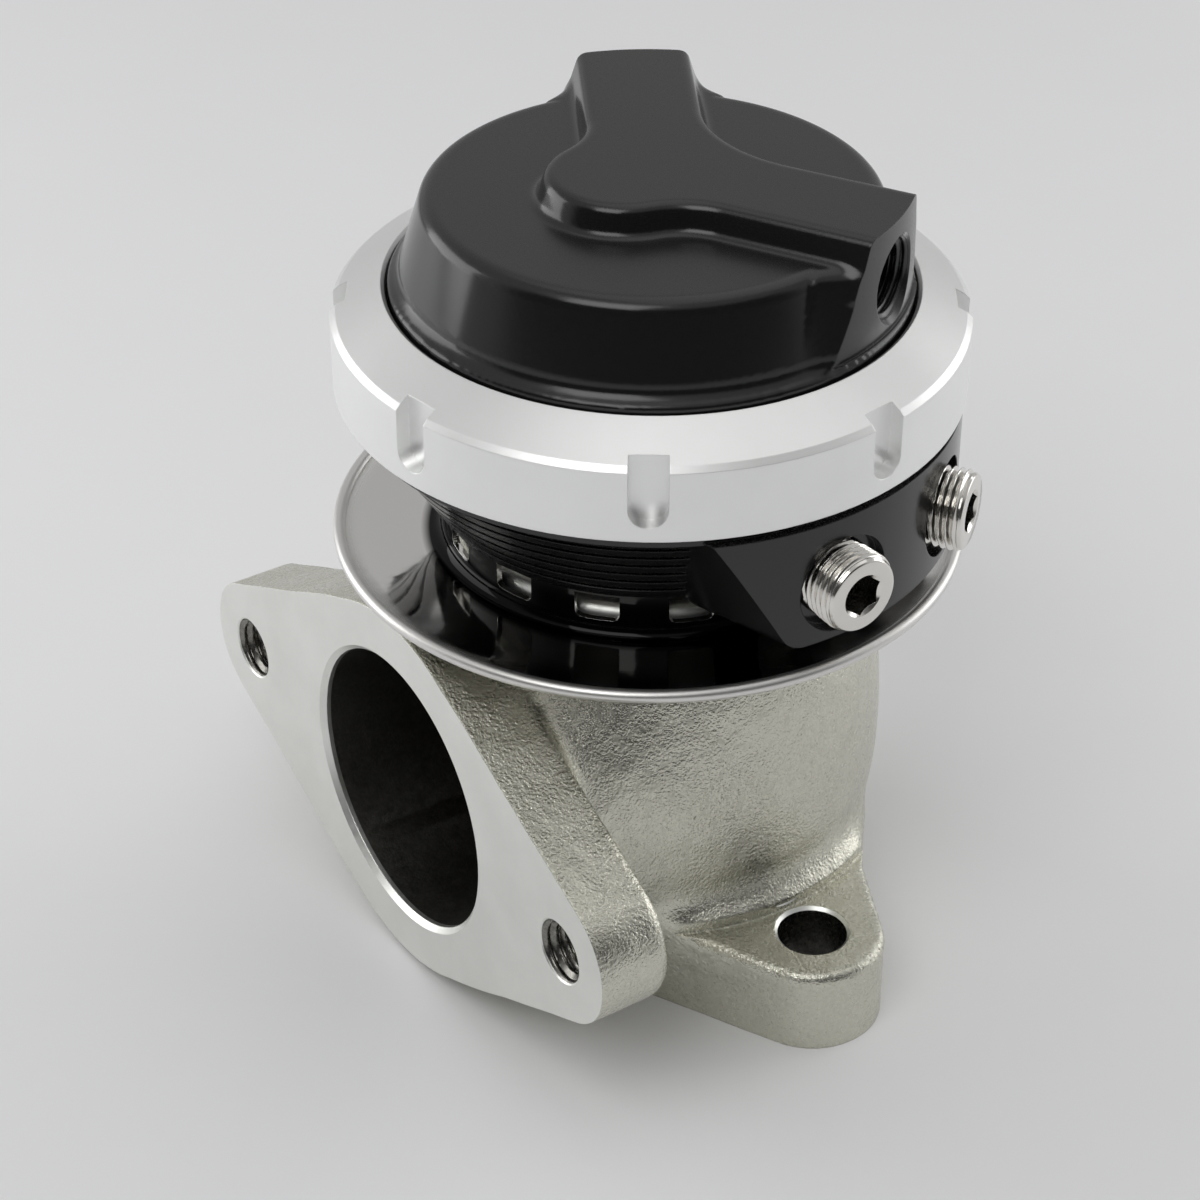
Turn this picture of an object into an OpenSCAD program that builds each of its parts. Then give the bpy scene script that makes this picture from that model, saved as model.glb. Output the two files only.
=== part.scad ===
// External turbo wastegate: a cast valve body with two-bolt flanges carries a sprung
// diaphragm actuator, which lifts a poppet valve off its seat.
// The origin is the centre of the inlet flange's lower face, on the valve's axis.
// The outlet faces -Y, and +Z runs up the valve's stem to the cap.

/* [Flanges and ports] */
// Bore of the outlet port
port_d = 38.4; // [34:0.2:40]
// Distance from the valve axis to each flange bolt
bolt_half = 38.4; // [37:0.2:44]
// Radius of the middle lobe of both flanges
flange_mid_r = 26.2; // [25:0.2:27.5]
// Radius of the rounded end of both flanges
flange_end_r = 9.4; // [8:0.2:12]
// Thickness of the inlet flange
inlet_t = 12; // [9:0.5:15]
// Thickness of the outlet flange
outlet_t = 10; // [8:0.5:12]
// Bolt hole of the inlet flange
inlet_hole_d = 9; // [8.4:0.2:10]
// Tapped hole of the outlet flange, at its thread's crests
outlet_tap_d = 6.8; // [6:0.2:8]
// Chamfer of the bolt holes and of the outlet port
hole_chamfer = 0.6; // [0.3:0.1:1]
// Distance from the valve axis to the outlet flange's face
outlet_reach = 39.2; // [38:0.2:44]
// Height of the outlet flange's lowest point above the inlet face
outlet_rise = 0.8; // [0.4:0.2:6]
// Step from the outlet flange's middle lobe down to the cast neck behind it
neck_step = 0.2; // [0.1:0.1:2]

/* [Valve body] */
// Largest radius of the cast barrel
barrel_r = 31.4; // [30.6:0.2:34]
// Radius of the barrel's bulge, seen from the side
bulge_r = 80; // [60:5:140]
// Thickness of the roof between the chamber and the shoulder
roof_t = 4.5; // [4:0.1:8]
// Rounding of the barrel's shoulder
shoulder_round = 5; // [3:0.5:6]
// Radius of the machined neck that carries the actuator
boss_r = 24.6; // [23.6:0.2:25]
// Height of the neck above the shoulder
boss_h = 6.4; // [5:0.2:9]
// Radius of the gas chamber
chamber_r = 25; // [23:0.5:26.5]
// Rounding of the chamber's corners
chamber_round = 9; // [5:0.5:11]
// Radius of the boss round the valve guide, inside the chamber
guide_boss_r = 9; // [8.4:0.2:11]
// Height of that boss below the chamber's roof
guide_boss_h = 7; // [4:0.5:10]
// Fillet between the barrel and the inlet flange
foot_fillet = 3.5; // [2:0.5:5]

/* [Valve] */
// Outer diameter of the seat ring
seat_od = 42; // [41:0.5:43.5]
// Wall of the seat ring
seat_wall = 4; // [3:0.1:5]
// Height of the seat ring
seat_h = 6; // [5:0.25:6.5]
// Width of the ledge that stops the seat ring in the body
seat_ledge = 1.4; // [0.8:0.1:2]
// Height of the throat between the seat ring and the chamber
throat_h = 3.5; // [2:0.5:5]
// Width of the 45 degree seat face
seat_face = 1.6; // [1:0.1:2]
// Gap between the closed valve and its seat
seat_gap = 0.1; // [0.05:0.01:0.2]
// Thickness of the valve head's rim
rim_t = 1.2; // [0.8:0.1:2]
// Radius of the curve between the valve head and its stem
tulip_r = 11; // [8:0.5:13]
// Diameter of the valve stem
stem_d = 8; // [7:0.2:8.8]
// Diameter of the stem's threaded end
stem_thread_d = 6; // [5:0.5:6.5]
// Running clearance round the stem, on the radius
stem_clear = 0.05; // [0.02:0.01:0.09]
// Outer diameter of the valve guide
guide_od = 12; // [11:0.5:14]
// Length of the valve guide
guide_len = 20; // [15:0.5:22]

/* [Heat shield] */
// Thickness of the sheet
shield_t = 0.9; // [0.7:0.1:1.2]
// Outer radius of the dish, over the rolled lip
shield_r = 40.9; // [40:0.1:44]
// Diameter of the rolled lip
lip_d = 1.7; // [1.4:0.1:2.2]
// Rise of the dish from its floor to the lip
dish_rise = 1.8; // [1:0.1:3]
// Gap between the body's neck and the upright collar
boss_gap = 0.9; // [0.6:0.1:1.4]
// Number of vent windows
window_count = 14; // [8:1:16]
// Width of a window
window_w = 5.7; // [4:0.1:7]
// Height of a window
window_h = 3.6; // [2.5:0.1:4]
// Thickness of the thermal spacer
spacer_t = 3.2; // [2:0.2:5]
// Distance from the neck's edge in to the thermal spacer
spacer_inset = 3.6; // [1:0.1:4]

/* [Lower housing] */
// How far the housing's lower edge stands out past the shield's collar
base_overhang = 1.5; // [1:0.1:3.5]
// Wall of the bowl at its lower edge
bowl_wall = 5.9; // [4:0.1:7]
// Wall of the threaded rim, inside the thread
rim_wall = 4.7; // [3.5:0.1:5.5]
// Height of the threaded rim above the collar's lower edge
rim_h = 4.5; // [4:0.1:6]
// Height of the housing from its base to the collar
housing_h = 16; // [16:0.5:20]
// Thickness of the housing's floor
floor_t = 4.5; // [4:0.1:5.5]
// Number of grooves between the cooling fins
groove_count = 6; // [3:1:6]
// Spacing of the grooves
groove_pitch = 2; // [1.6:0.1:2.1]
// Height of a groove
groove_h = 0.6; // [0.4:0.1:0.9]
// Depth of a groove
groove_depth = 1.6; // [0.8:0.1:2.2]
// Distance from the collar's edge in to the housing's flange
flange_inset = 1.6; // [0.5:0.1:2]
// How far that flange stands out past the bowl
flange_lip = 1.27; // [0.8:0.01:2]
// Distance from the collar's edge in to the port pad's curved face
pad_inset = 0.4; // [0:0.1:1.4]
// Direction of the port pad's middle
pad_angle = 18; // [0:1:40]
// Half width of the pad at its lower edge
pad_half_low = 18; // [16:0.5:20]
// Half width of the pad at its upper edge
pad_half_high = 26.4; // [24:0.2:28]
// Depth of the pad's lower edge below the housing's base
pad_drop = 2.3; // [1:0.1:2.6]
// Angle between the two lower air ports
port_spread = 32; // [28:1:36]
// Height of the lower air ports above the housing's base
air_port_h = 5; // [4.9:0.1:6.5]
// Number of screws between the housing and the body
screw_count = 6; // [4:1:6]
// Radius of the circle that the screws stand on
screw_circle_r = 16; // [15.6:0.1:16.4]
// Diameter of these screws
screw_d = 5; // [4:0.5:5]

/* [Air ports and plugs] */
// Diameter of the taper thread at the face of a port
taper_d = 10.2; // [9.6:0.1:10.6]
// Tap drill of an air port
tap_drill_d = 8.7; // [8.4:0.1:9]
// Depth of an air port's thread
tap_depth = 7; // [6:0.5:8]
// Diameter of the spot face round a lower air port
spot_d = 13; // [12:0.2:14]
// Depth of the lower ports' spot face in the pad
spot_depth = 2; // [1.4:0.1:2.6]
// How far a plug stands out past the spot face
plug_out = 5.4; // [4:0.1:6]
// How far a plug reaches into its port
plug_in = 4.6; // [4:0.1:5.5]
// Hexagon socket of a plug, across its flats
plug_socket = 4.76; // [4:0.01:5]

/* [Collar] */
// Outer radius of the locking collar
collar_r = 40; // [39.8:0.1:42]
// Wall of the collar outside its thread
collar_wall = 3.4; // [3:0.1:4]
// Gap in the collar's thread, on the radius
thread_gap = 0.1; // [0.05:0.01:0.2]
// Width of the lip that holds the cap down
collar_lip = 3.5; // [3:0.1:4]
// Thickness of that lip at the collar's edge
collar_lip_t = 1.5; // [1.2:0.1:3]
// Rise of the collar's top from its edge to its bore
collar_crown = 3.3; // [2:0.1:4]
// Chamfer on the collar's upper edge
collar_chamfer = 0.7; // [0.3:0.1:1]
// Number of spanner notches
notch_count = 8; // [6:1:10]
// Width of a notch
notch_w = 4.8; // [4:0.1:6]
// Depth of a notch
notch_depth = 2; // [1:0.1:2.4]
// Wall left below a notch
notch_floor = 1.9; // [1.5:0.1:3]
// Direction of the first notch
notch_angle = -35; // [-45:1:45]

/* [Cap] */
// Gap between the cap and the collar's opening
cap_gap = 0.4; // [0.2:0.1:0.8]
// Width of the flare at the foot of the cap's wall
cap_flare = 1.55; // [1:0.05:2.2]
// Thickness of the cap's wall at its foot
cap_wall = 3.55; // [3:0.05:4.5]
// Shrink of the wall's radius per millimetre of height
cap_draft = 0.3; // [0.2:0.01:0.34]
// Height of the cap above the collar's bore
cap_h = 12; // [11.5:0.1:14]
// Height of the raised ridge above the cap's flat top
ridge_h = 3.6; // [2.5:0.1:5]
// Half width of an arm of the cap's body at its foot
arm_half = 10.35; // [10:0.05:11]
// Fillet between an arm and the cap's wall, at its foot
arm_fillet = 9.85; // [8:0.05:12]
// Distance from the cap's base ring in to an arm's end face
arm_inset = 0.4; // [0.3:0.1:0.8]
// Half width of the ridge at its foot
ridge_half = 8; // [7.6:0.1:8.4]
// Radius of the ridge's round nose at its foot
nose_r = 10.5; // [9.5:0.1:12]
// Distance of the nose's centre from the axis
nose_reach = 4.2; // [3:0.1:6]
// Fillet between the nose and an arm
nose_fillet = 10; // [8:0.5:13]
// Fillet between the two arms at the back
back_fillet = 18; // [14:0.5:22]
// Height of an air port's centre below the cap's flat top
cap_port_drop = 4.6; // [4.4:0.1:5.4]
// Thickness of the cap's roof
cap_roof_t = 3.8; // [3:0.1:4.6]
// Gap between the cap's flange and the collar's thread
cap_flange_gap = 0.4; // [0.2:0.1:0.8]
// Thickness of that flange
cap_flange_t = 2.6; // [2:0.1:3]

/* [Diaphragm and springs] */
// Thickness of the diaphragm
diaphragm_t = 1.2; // [0.8:0.1:1.6]
// Gap between the lower plate and the seal's clip at rest
plate_gap = 1.4; // [0.8:0.1:2]
// Distance from the piston's edge in to the lower plate's edge
plate_inset = 2.6; // [2:0.1:5]
// Thickness of the lower plate
plate_t = 2; // [1.5:0.1:2.4]
// Width of the diaphragm's fold between the piston and the housing
fold_w = 8.2; // [7:0.1:9]
// Height of the piston's wall
piston_h = 7; // [5:0.5:8]
// Thickness of the piston's floor and wall
piston_t = 1.8; // [1.4:0.1:2.2]
// Wire of the outer spring
outer_wire = 2.6; // [2:0.1:2.6]
// Gap between the piston's wall and the outer spring
outer_gap = 0.9; // [0.5:0.1:1.5]
// Turns of the outer spring
outer_turns = 4.5; // [3.5:0.5:4.5]
// Wire of the middle spring
middle_wire = 2; // [1.6:0.1:2.2]
// Gap between the outer and the middle spring
middle_gap = 2.3; // [1:0.1:2.6]
// Turns of the middle spring
middle_turns = 5.5; // [4.5:0.5:6]
// Wire of the inner spring
inner_wire = 1.6; // [1.2:0.1:1.8]
// Gap between the middle and the inner spring
inner_gap = 2.4; // [1:0.1:2.6]
// Turns of the inner spring
inner_turns = 6.5; // [5:0.5:7]

/* [Hidden] */
$fn = 96;
fine = 240;
eps = 0.01;
cut = 1;

// Heights of the cast body, from the inlet face upwards
port_r = port_d / 2;
outlet_z = flange_mid_r + outlet_rise;
chamber_z0 = seat_h + throat_h;
chamber_z1 = outlet_z + port_r + 0.3;
shoulder_z = chamber_z1 + roof_t;
boss_z = shoulder_z + boss_h;
shield_z = boss_z + spacer_t;
housing_z = shield_z + shield_t;

// Heights of the lower housing and the parts clamped to it
floor_z = housing_z + floor_t;
collar_z = housing_z + housing_h;
flange_gap = 0.2;
housing_flange_t = 1.6;
bowl_top_z = collar_z - flange_gap - housing_flange_t;
rim_z = collar_z + rim_h;
bead_z = rim_z + diaphragm_t + 0.1;
cap_flange_z = bead_z + cap_flange_t;
collar_gap = 0.1;
collar_lip_z = cap_flange_z + collar_gap;
collar_top_z = collar_lip_z + collar_lip_t;
collar_crown_z = collar_top_z + collar_crown;

// Heights of the cap
cap_top_z = collar_crown_z + cap_h;
ridge_z = cap_top_z + ridge_h;
cap_roof_z = cap_top_z - cap_roof_t;
cap_port_z = cap_top_z - cap_port_drop;
arm_angles = [30, 150];

// Radii of the actuator, from the collar inwards
thread_r = collar_r - collar_wall;
collar_bore_r = thread_r - collar_lip;
cap_flange_r = thread_r - cap_flange_gap;
cap_ring_r = collar_bore_r - cap_gap;
cap_wall_r = cap_ring_r - cap_flare;
arm_reach = cap_ring_r - arm_inset;
housing_flange_r = collar_r - flange_inset;
bowl_top_r = housing_flange_r - flange_lip;
pad_r = collar_r - pad_inset;
spot_reach = pad_r - spot_depth;
rim_bore_r = thread_r - thread_gap - rim_wall;
piston_r = rim_bore_r - fold_w;
plate_r = piston_r - plate_inset;
outer_coil_r = piston_r - piston_t - outer_gap - outer_wire / 2;
middle_coil_r = outer_coil_r - (outer_wire + middle_wire) / 2 - middle_gap;
inner_coil_r = middle_coil_r - (middle_wire + inner_wire) / 2 - inner_gap;

// Radii round the body's neck
shield_collar_r = boss_r + boss_gap + shield_t;
spacer_r = boss_r - spacer_inset;
housing_base_r = shield_collar_r + base_overhang;
bowl_slope = (bowl_top_r - housing_base_r) / (bowl_top_z - housing_z);
bowl_floor_r = housing_base_r - bowl_wall;

// Radii of the stem and what holds it
seat_r = seat_od / 2 - seat_wall;
stem_r = stem_d / 2;
stem_hole_r = stem_r + stem_clear;
guide_r = guide_od / 2;
bush_r = stem_r + 2.5;
shaft_boss_r = bush_r + 2.6;
bush_top_z = floor_z;
seal_h = 2;
clip_t = 0.6;
shaft_boss_z = bush_top_z + seal_h + clip_t;

// Heights of the moving stack
plate_z = shaft_boss_z + plate_gap;
diaphragm_z = plate_z + plate_t;
piston_z = diaphragm_z + diaphragm_t;
spring_z = piston_z + piston_t;
washer_r = 5.9;
washer_t = 1;
nut_h = 5;
nut_flats = 10;
stem_end_z = spring_z + washer_t + nut_h + 1;

// Screws between the housing and the body
head_r = screw_d * 0.85;
head_h = 3.4;
head_sink = 1.4;
head_z = floor_z - head_sink;
screw_reach = 7;
screw_clear = 0.3;
fit_gap = 0.2;

// Two-lobed flange outline: a middle circle, two end circles and their tangents
module lozenge() {
  lean = asin((flange_mid_r - flange_end_r) / bolt_half);
  normal = [sin(lean), cos(lean)];
  mid = flange_mid_r * normal;
  end = [bolt_half, 0] + flange_end_r * normal;
  circle(flange_mid_r, $fn = fine);
  for (side = [-1, 1])
    translate([side * bolt_half, 0])
      circle(flange_end_r);
  polygon([mid, end, [end.x, -end.y], [mid.x, -mid.y],
    [-mid.x, -mid.y], [-end.x, -end.y], [-end.x, end.y], [-mid.x, mid.y]]);
}

// A straight hole with a chamfer at each end, from z = 0 up to h
module chamfered_hole(d, h, chamfer) {
  translate([0, 0, -cut])
    cylinder(d = d, h = h + 2 * cut);
  translate([0, 0, -eps])
    cylinder(d1 = d + 2 * chamfer + 2 * eps, d2 = d, h = chamfer + eps);
  translate([0, 0, h - chamfer])
    cylinder(d1 = d, d2 = d + 2 * chamfer + 2 * eps, h = chamfer + eps);
}

// Turns a child that points up so that it points along +Y from the outlet's face
module from_outlet()
  translate([0, -outlet_reach, outlet_z])
    rotate([-90, 0, 0])
      children();

// Copies a child round the screw circle
module at_screws()
  for (i = [0 : screw_count - 1])
    rotate(i * 360 / screw_count)
      translate([screw_circle_r, 0, 0])
        children();

// Radius of the bulge at a height, before the shoulder is rounded
function bulge(z) = barrel_r - bulge_r + sqrt(pow(bulge_r, 2) - pow(z - outlet_z, 2));

// Right half of the barrel's section: a shallow bulge with a rounded shoulder. The
// rounding meets the bulge where it leans in by meet_a.
module barrel_section() {
  meet_a = 20;
  round_z = shoulder_z - shoulder_round;
  round_x = bulge(round_z + shoulder_round * sin(meet_a)) - shoulder_round * cos(meet_a);
  intersection() {
    translate([barrel_r - bulge_r, outlet_z])
      circle(bulge_r, $fn = 2 * fine);
    union() {
      square([barrel_r + 1, round_z]);
      square([round_x, shoulder_z]);
      translate([round_x, round_z])
        circle(shoulder_round);
    }
    square([barrel_r + 2, shoulder_z + 1]);
  }
}

// Concave ring between the barrel and the top of the inlet flange
module foot_section() {
  foot_r = bulge(inlet_t);
  difference() {
    translate([0, inlet_t - cut])
      square([foot_r + foot_fillet, foot_fillet + cut]);
    translate([foot_r + foot_fillet, inlet_t + foot_fillet])
      circle(foot_fillet);
  }
}

module body_outside() {
  linear_extrude(inlet_t)
    lozenge();
  intersection() {
    rotate_extrude($fn = fine)
      foot_section();
    linear_extrude(inlet_t + foot_fillet)
      lozenge();
  }
  rotate_extrude($fn = fine)
    barrel_section();
  cylinder(r = boss_r, h = boss_z, $fn = fine);
  from_outlet() {
    linear_extrude(outlet_t)
      lozenge();
    cylinder(r = flange_mid_r - neck_step, h = outlet_reach - chamber_r + 6, $fn = fine);
  }
}

// Right half of the chamber's section, with the guide's boss left standing
module chamber_section() {
  inner_r = chamber_r - chamber_round;
  difference() {
    union() {
      translate([0, chamber_z0])
        square([inner_r, chamber_z1 - chamber_z0]);
      translate([0, chamber_z0 + chamber_round])
        square([chamber_r, chamber_z1 - chamber_z0 - 2 * chamber_round]);
      for (z = [chamber_z0 + chamber_round, chamber_z1 - chamber_round])
        translate([inner_r, z])
          intersection() {
            circle(chamber_round);
            translate([0, -chamber_round])
              square([chamber_round, 2 * chamber_round]);
          }
    }
    translate([0, chamber_z1 - guide_boss_h])
      square([guide_boss_r, guide_boss_h + cut]);
  }
}

module body_inside() {
  throat_r = seat_od / 2 - seat_ledge;
  translate([0, 0, -cut])
    cylinder(d = seat_od, h = seat_h + cut, $fn = fine);
  cylinder(r = throat_r, h = chamber_z0 + 4, $fn = fine);
  rotate_extrude($fn = fine)
    chamber_section();
  cylinder(r = guide_r, h = boss_z + cut);
  from_outlet() {
    bore_len = outlet_reach - guide_boss_r - 5;
    translate([0, 0, -cut])
      cylinder(r = port_r, h = bore_len + cut, $fn = fine);
    translate([0, 0, -eps])
      cylinder(r1 = port_r + hole_chamfer + eps, r2 = port_r, h = hole_chamfer + eps,
        $fn = fine);
    for (side = [-1, 1])
      translate([side * bolt_half, 0, 0])
        chamfered_hole(outlet_tap_d, outlet_t, 1);
  }
  for (side = [-1, 1])
    translate([side * bolt_half, 0, 0])
      chamfered_hole(inlet_hole_d, inlet_t, hole_chamfer);
  at_screws()
    translate([0, 0, boss_z - screw_reach - 1])
      cylinder(d = screw_d, h = screw_reach + 1 + cut);
}

module valve_body()
  color("darkgray")
    difference() {
      body_outside();
      body_inside();
    }

module seat_ring() {
  r0 = seat_r;
  r1 = seat_od / 2;
  color("silver")
    rotate_extrude($fn = fine)
      polygon([[r0, 0], [r1, 0], [r1, seat_h], [r0 + seat_face, seat_h],
        [r0, seat_h - seat_face]]);
}

module valve_guide() {
  guide_z = boss_z - 1 - guide_len;
  color("peru")
    difference() {
      translate([0, 0, guide_z])
        cylinder(r = guide_r, h = guide_len);
      translate([0, 0, guide_z - cut])
        cylinder(r = stem_hole_r, h = guide_len + 2 * cut);
    }
}

// The head's cone lies parallel to the seat, seat_gap away from it
module poppet_valve() {
  head_r0 = seat_r - seat_gap * sqrt(2);
  head_z0 = seat_h - seat_face;
  rim_r = head_r0 + seat_face;
  rim_z1 = seat_h + rim_t;
  color("lightgray") {
    rotate_extrude($fn = fine)
      difference() {
        union() {
          polygon([[0, head_z0], [head_r0, head_z0], [rim_r, seat_h], [rim_r, rim_z1],
            [0, rim_z1]]);
          translate([0, rim_z1])
            square([stem_r + tulip_r, tulip_r]);
        }
        translate([stem_r + tulip_r, rim_z1 + tulip_r])
          circle(tulip_r);
      }
    translate([0, 0, rim_z1])
      cylinder(r = stem_r, h = plate_z - rim_z1);
    translate([0, 0, plate_z])
      cylinder(d = stem_thread_d, h = stem_end_z - plate_z);
  }
}

module thermal_spacer()
  color("dimgray")
    difference() {
      translate([0, 0, boss_z])
        cylinder(r = spacer_r, h = spacer_t);
      translate([0, 0, boss_z - cut])
        cylinder(r = bush_r + 2, h = spacer_t + 2 * cut);
      at_screws()
        translate([0, 0, boss_z - cut])
          cylinder(d = screw_d + 2 * screw_clear, h = spacer_t + 2 * cut);
    }

dish_floor_z = outlet_z + flange_mid_r + shield_t + 0.4;
lip_r = lip_d / 2;
lip_x = shield_r - lip_r;

// Right half of the sheet: flat inner flange, upright collar and rising floor
module sheet_section() {
  floor_r = shield_collar_r + 1;
  inner_r = shield_collar_r - shield_t;
  rise = [for (i = [0 : 5]) [floor_r + (lip_x - floor_r) * i / 5,
    dish_floor_z + (dish_rise - 0.3) * pow(i / 5, 2)]];
  polygon(concat([[bush_r, shield_z], [bush_r, housing_z], [shield_collar_r, housing_z],
    [shield_collar_r, dish_floor_z]], rise,
    [for (i = [5 : -1 : 0]) [rise[i].x, rise[i].y - shield_t]],
    [[inner_r, dish_floor_z - shield_t], [inner_r, shield_z]]));
}

// Outline of a vent window, with its foot on the line y = 0
module window_outline() {
  corner = 1;
  translate([-window_w / 2, corner])
    square([window_w, window_h - corner]);
  translate([corner - window_w / 2, 0])
    square([window_w - 2 * corner, 2 * corner]);
  for (side = [-1, 1])
    translate([side * (window_w / 2 - corner), corner])
      circle(corner, $fn = 32);
}

module heat_shield() {
  window_top = 1.3;
  window_start = -48.5;
  color("whitesmoke")
    difference() {
      union() {
        rotate_extrude($fn = fine)
          sheet_section();
        translate([0, 0, dish_floor_z + dish_rise - lip_r])
          rotate_extrude($fn = fine)
            translate([lip_x, 0])
              circle(lip_r, $fn = 32);
      }
      for (i = [0 : window_count - 1])
        rotate(window_start + i * 360 / window_count)
          translate([shield_collar_r - 3, 0, housing_z - window_top - window_h])
            rotate([90, 0, 90])
              linear_extrude(4)
                window_outline();
      at_screws()
        translate([0, 0, shield_z - cut])
          cylinder(d = screw_d + 2 * screw_clear, h = shield_t + 2 * cut);
    }
}

// Right half of the finned bowl, its flange and its threaded rim
module bowl_section() {
  top_z = bowl_top_z;
  groove_z0 = housing_z + 1.7;
  difference() {
    union() {
      polygon([[0, housing_z], [housing_base_r, housing_z], [bowl_top_r, top_z], [0, top_z]]);
      translate([0, top_z])
        square([housing_flange_r, housing_flange_t]);
      translate([0, top_z])
        square([thread_r - thread_gap, rim_z - top_z]);
    }
    for (i = [0 : groove_count - 1]) {
      z = groove_z0 + i * groove_pitch;
      r = housing_base_r + bowl_slope * (z - housing_z);
      translate([r - groove_depth, z])
        square([groove_depth + 2, groove_h]);
    }
  }
}

// Right half of the space inside the housing
module bowl_inside_section() {
  wall_r = rim_bore_r;
  bend_z = collar_z - 0.5;
  difference() {
    polygon([[0, floor_z], [bowl_floor_r, floor_z], [wall_r, bend_z], [wall_r, rim_z + cut],
      [0, rim_z + cut]]);
    square([shaft_boss_r, shaft_boss_z]);
  }
}

// The port pad's outline, looking at it from outside, with its lower corners rounded
module pad_outline() {
  low = housing_z - pad_drop;
  high = bowl_top_z + 0.4;
  corner = 3;
  lean = atan((pad_half_high - pad_half_low) / (high - low));
  reach = corner * (1 - sin(lean)) / cos(lean);
  side_x = pad_half_low - reach;
  top = [pad_half_high, high];
  foot = [side_x + corner * cos(lean), low + corner - corner * sin(lean)];
  polygon([[side_x, low], foot, top, [-top.x, top.y], [-foot.x, foot.y], [-side_x, low]]);
  for (side = [-1, 1])
    translate([side * side_x, low + corner])
      circle(corner, $fn = 64);
}

module port_pad()
  difference() {
    intersection() {
      rotate(pad_angle)
        translate([housing_base_r - 8, 0, 0])
          rotate([90, 0, 90])
            linear_extrude(pad_r)
              pad_outline();
      cylinder(r = pad_r, h = collar_z, $fn = fine);
    }
    cylinder(r = housing_base_r, h = housing_z);
  }

// Moves a child from +X at z = 0 to the axis of each lower air port
module at_lower_ports()
  for (side = [-1, 1])
    rotate(pad_angle + side * port_spread / 2)
      translate([spot_reach, 0, housing_z + air_port_h])
        rotate([0, 90, 0])
          children();

function taper_r(x) = taper_d / 2 + x / 32;

module lower_port_cuts() {
  at_lower_ports() {
    cylinder(d = spot_d, h = 10);
    translate([0, 0, -plug_in])
      cylinder(r1 = taper_r(-plug_in), r2 = taper_r(0) + eps / 32, h = plug_in + eps);
    translate([0, 0, -tap_depth])
      cylinder(d = tap_drill_d, h = tap_depth);
  }
  for (side = [-1, 1])
    rotate(pad_angle + side * port_spread / 2)
      translate([15, 0, floor_z + 1.8])
        rotate([0, 90, 0])
          cylinder(d = 3, h = spot_reach - plug_in - 15);
}

module lower_housing()
  color("dimgray")
    difference() {
      union() {
        rotate_extrude($fn = fine)
          bowl_section();
        port_pad();
      }
      rotate_extrude($fn = fine)
        bowl_inside_section();
      lower_port_cuts();
      translate([0, 0, housing_z - cut])
        cylinder(r = bush_r, h = shaft_boss_z - housing_z + 2 * cut);
      at_screws() {
        translate([0, 0, housing_z - cut])
          cylinder(d = screw_d + 2 * screw_clear, h = floor_t + 2 * cut);
        translate([0, 0, head_z])
          cylinder(r = head_r + screw_clear, h = head_h + cut);
      }
    }

module housing_screws()
  color("gray")
    at_screws()
      difference() {
        union() {
          translate([0, 0, boss_z - screw_reach])
            cylinder(d = screw_d, h = head_z - boss_z + screw_reach);
          translate([0, 0, head_z])
            cylinder(r = head_r, h = head_h);
        }
        translate([0, 0, head_z + head_h - 2])
          cylinder(d = screw_d * 0.8 / cos(30), h = 2 + cut, $fn = 6);
      }

// A plain ring round the stem
module stem_ring(outer_r, inner_r, z, h)
  difference() {
    translate([0, 0, z])
      cylinder(r = outer_r, h = h);
    translate([0, 0, z - cut])
      cylinder(r = inner_r, h = h + 2 * cut);
  }

module shaft_bush()
  color("peru")
    stem_ring(bush_r, stem_hole_r, housing_z, bush_top_z - housing_z);

module shaft_seal()
  color("black")
    stem_ring(bush_r, stem_hole_r, bush_top_z, seal_h);

module seal_clip()
  color("gray")
    stem_ring(bush_r, stem_r + 1, bush_top_z + seal_h, clip_t);

// A taper-threaded plug whose spot face line lies at z = 0
module plug() {
  chamfer = 0.6;
  difference() {
    union() {
      translate([0, 0, -plug_in])
        cylinder(r1 = taper_r(-plug_in), r2 = taper_r(0), h = plug_in);
      cylinder(r1 = taper_r(0), r2 = taper_r(plug_out - chamfer), h = plug_out - chamfer);
      translate([0, 0, plug_out - chamfer])
        cylinder(r1 = taper_r(plug_out - chamfer), r2 = taper_r(plug_out) - chamfer,
          h = chamfer);
    }
    translate([0, 0, plug_out - 4.5])
      cylinder(d = plug_socket / cos(30), h = 4.5 + cut, $fn = 6);
    translate([0, 0, plug_out - 0.5])
      cylinder(d1 = plug_socket, d2 = plug_socket + 1.2, h = 0.5 + eps);
  }
}

module port_plugs()
  color("gainsboro")
    at_lower_ports()
      plug();

module diaphragm_plate()
  color("silver")
    stem_ring(plate_r, stem_thread_d / 2, plate_z, plate_t);

// A flat middle, one fold down from the rim and a bead that the cap clamps
module diaphragm() {
  t = diaphragm_t;
  z0 = diaphragm_z;
  drop = rim_z - diaphragm_z;
  hole = stem_thread_d / 2;
  fold_r = piston_r - 0.8;
  wall_r = rim_bore_r - 0.6;
  color("darkslategray")
    rotate_extrude($fn = fine)
      polygon([[hole, z0], [fold_r, z0], [fold_r + 2.8, z0 + 1.2],
        [wall_r - 1.4, z0 + 0.55 * drop], [wall_r, z0 + 0.9 * drop], [wall_r + 0.4, rim_z],
        [cap_flange_r, rim_z], [cap_flange_r, bead_z], [wall_r - 0.6, bead_z],
        [wall_r - t, z0 + 0.93 * drop], [wall_r - 1.2 - t, z0 + 0.6 * drop + 0.3],
        [fold_r + 2.4, z0 + 1.2 + t], [fold_r, z0 + t], [hole, z0 + t]]);
}

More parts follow.
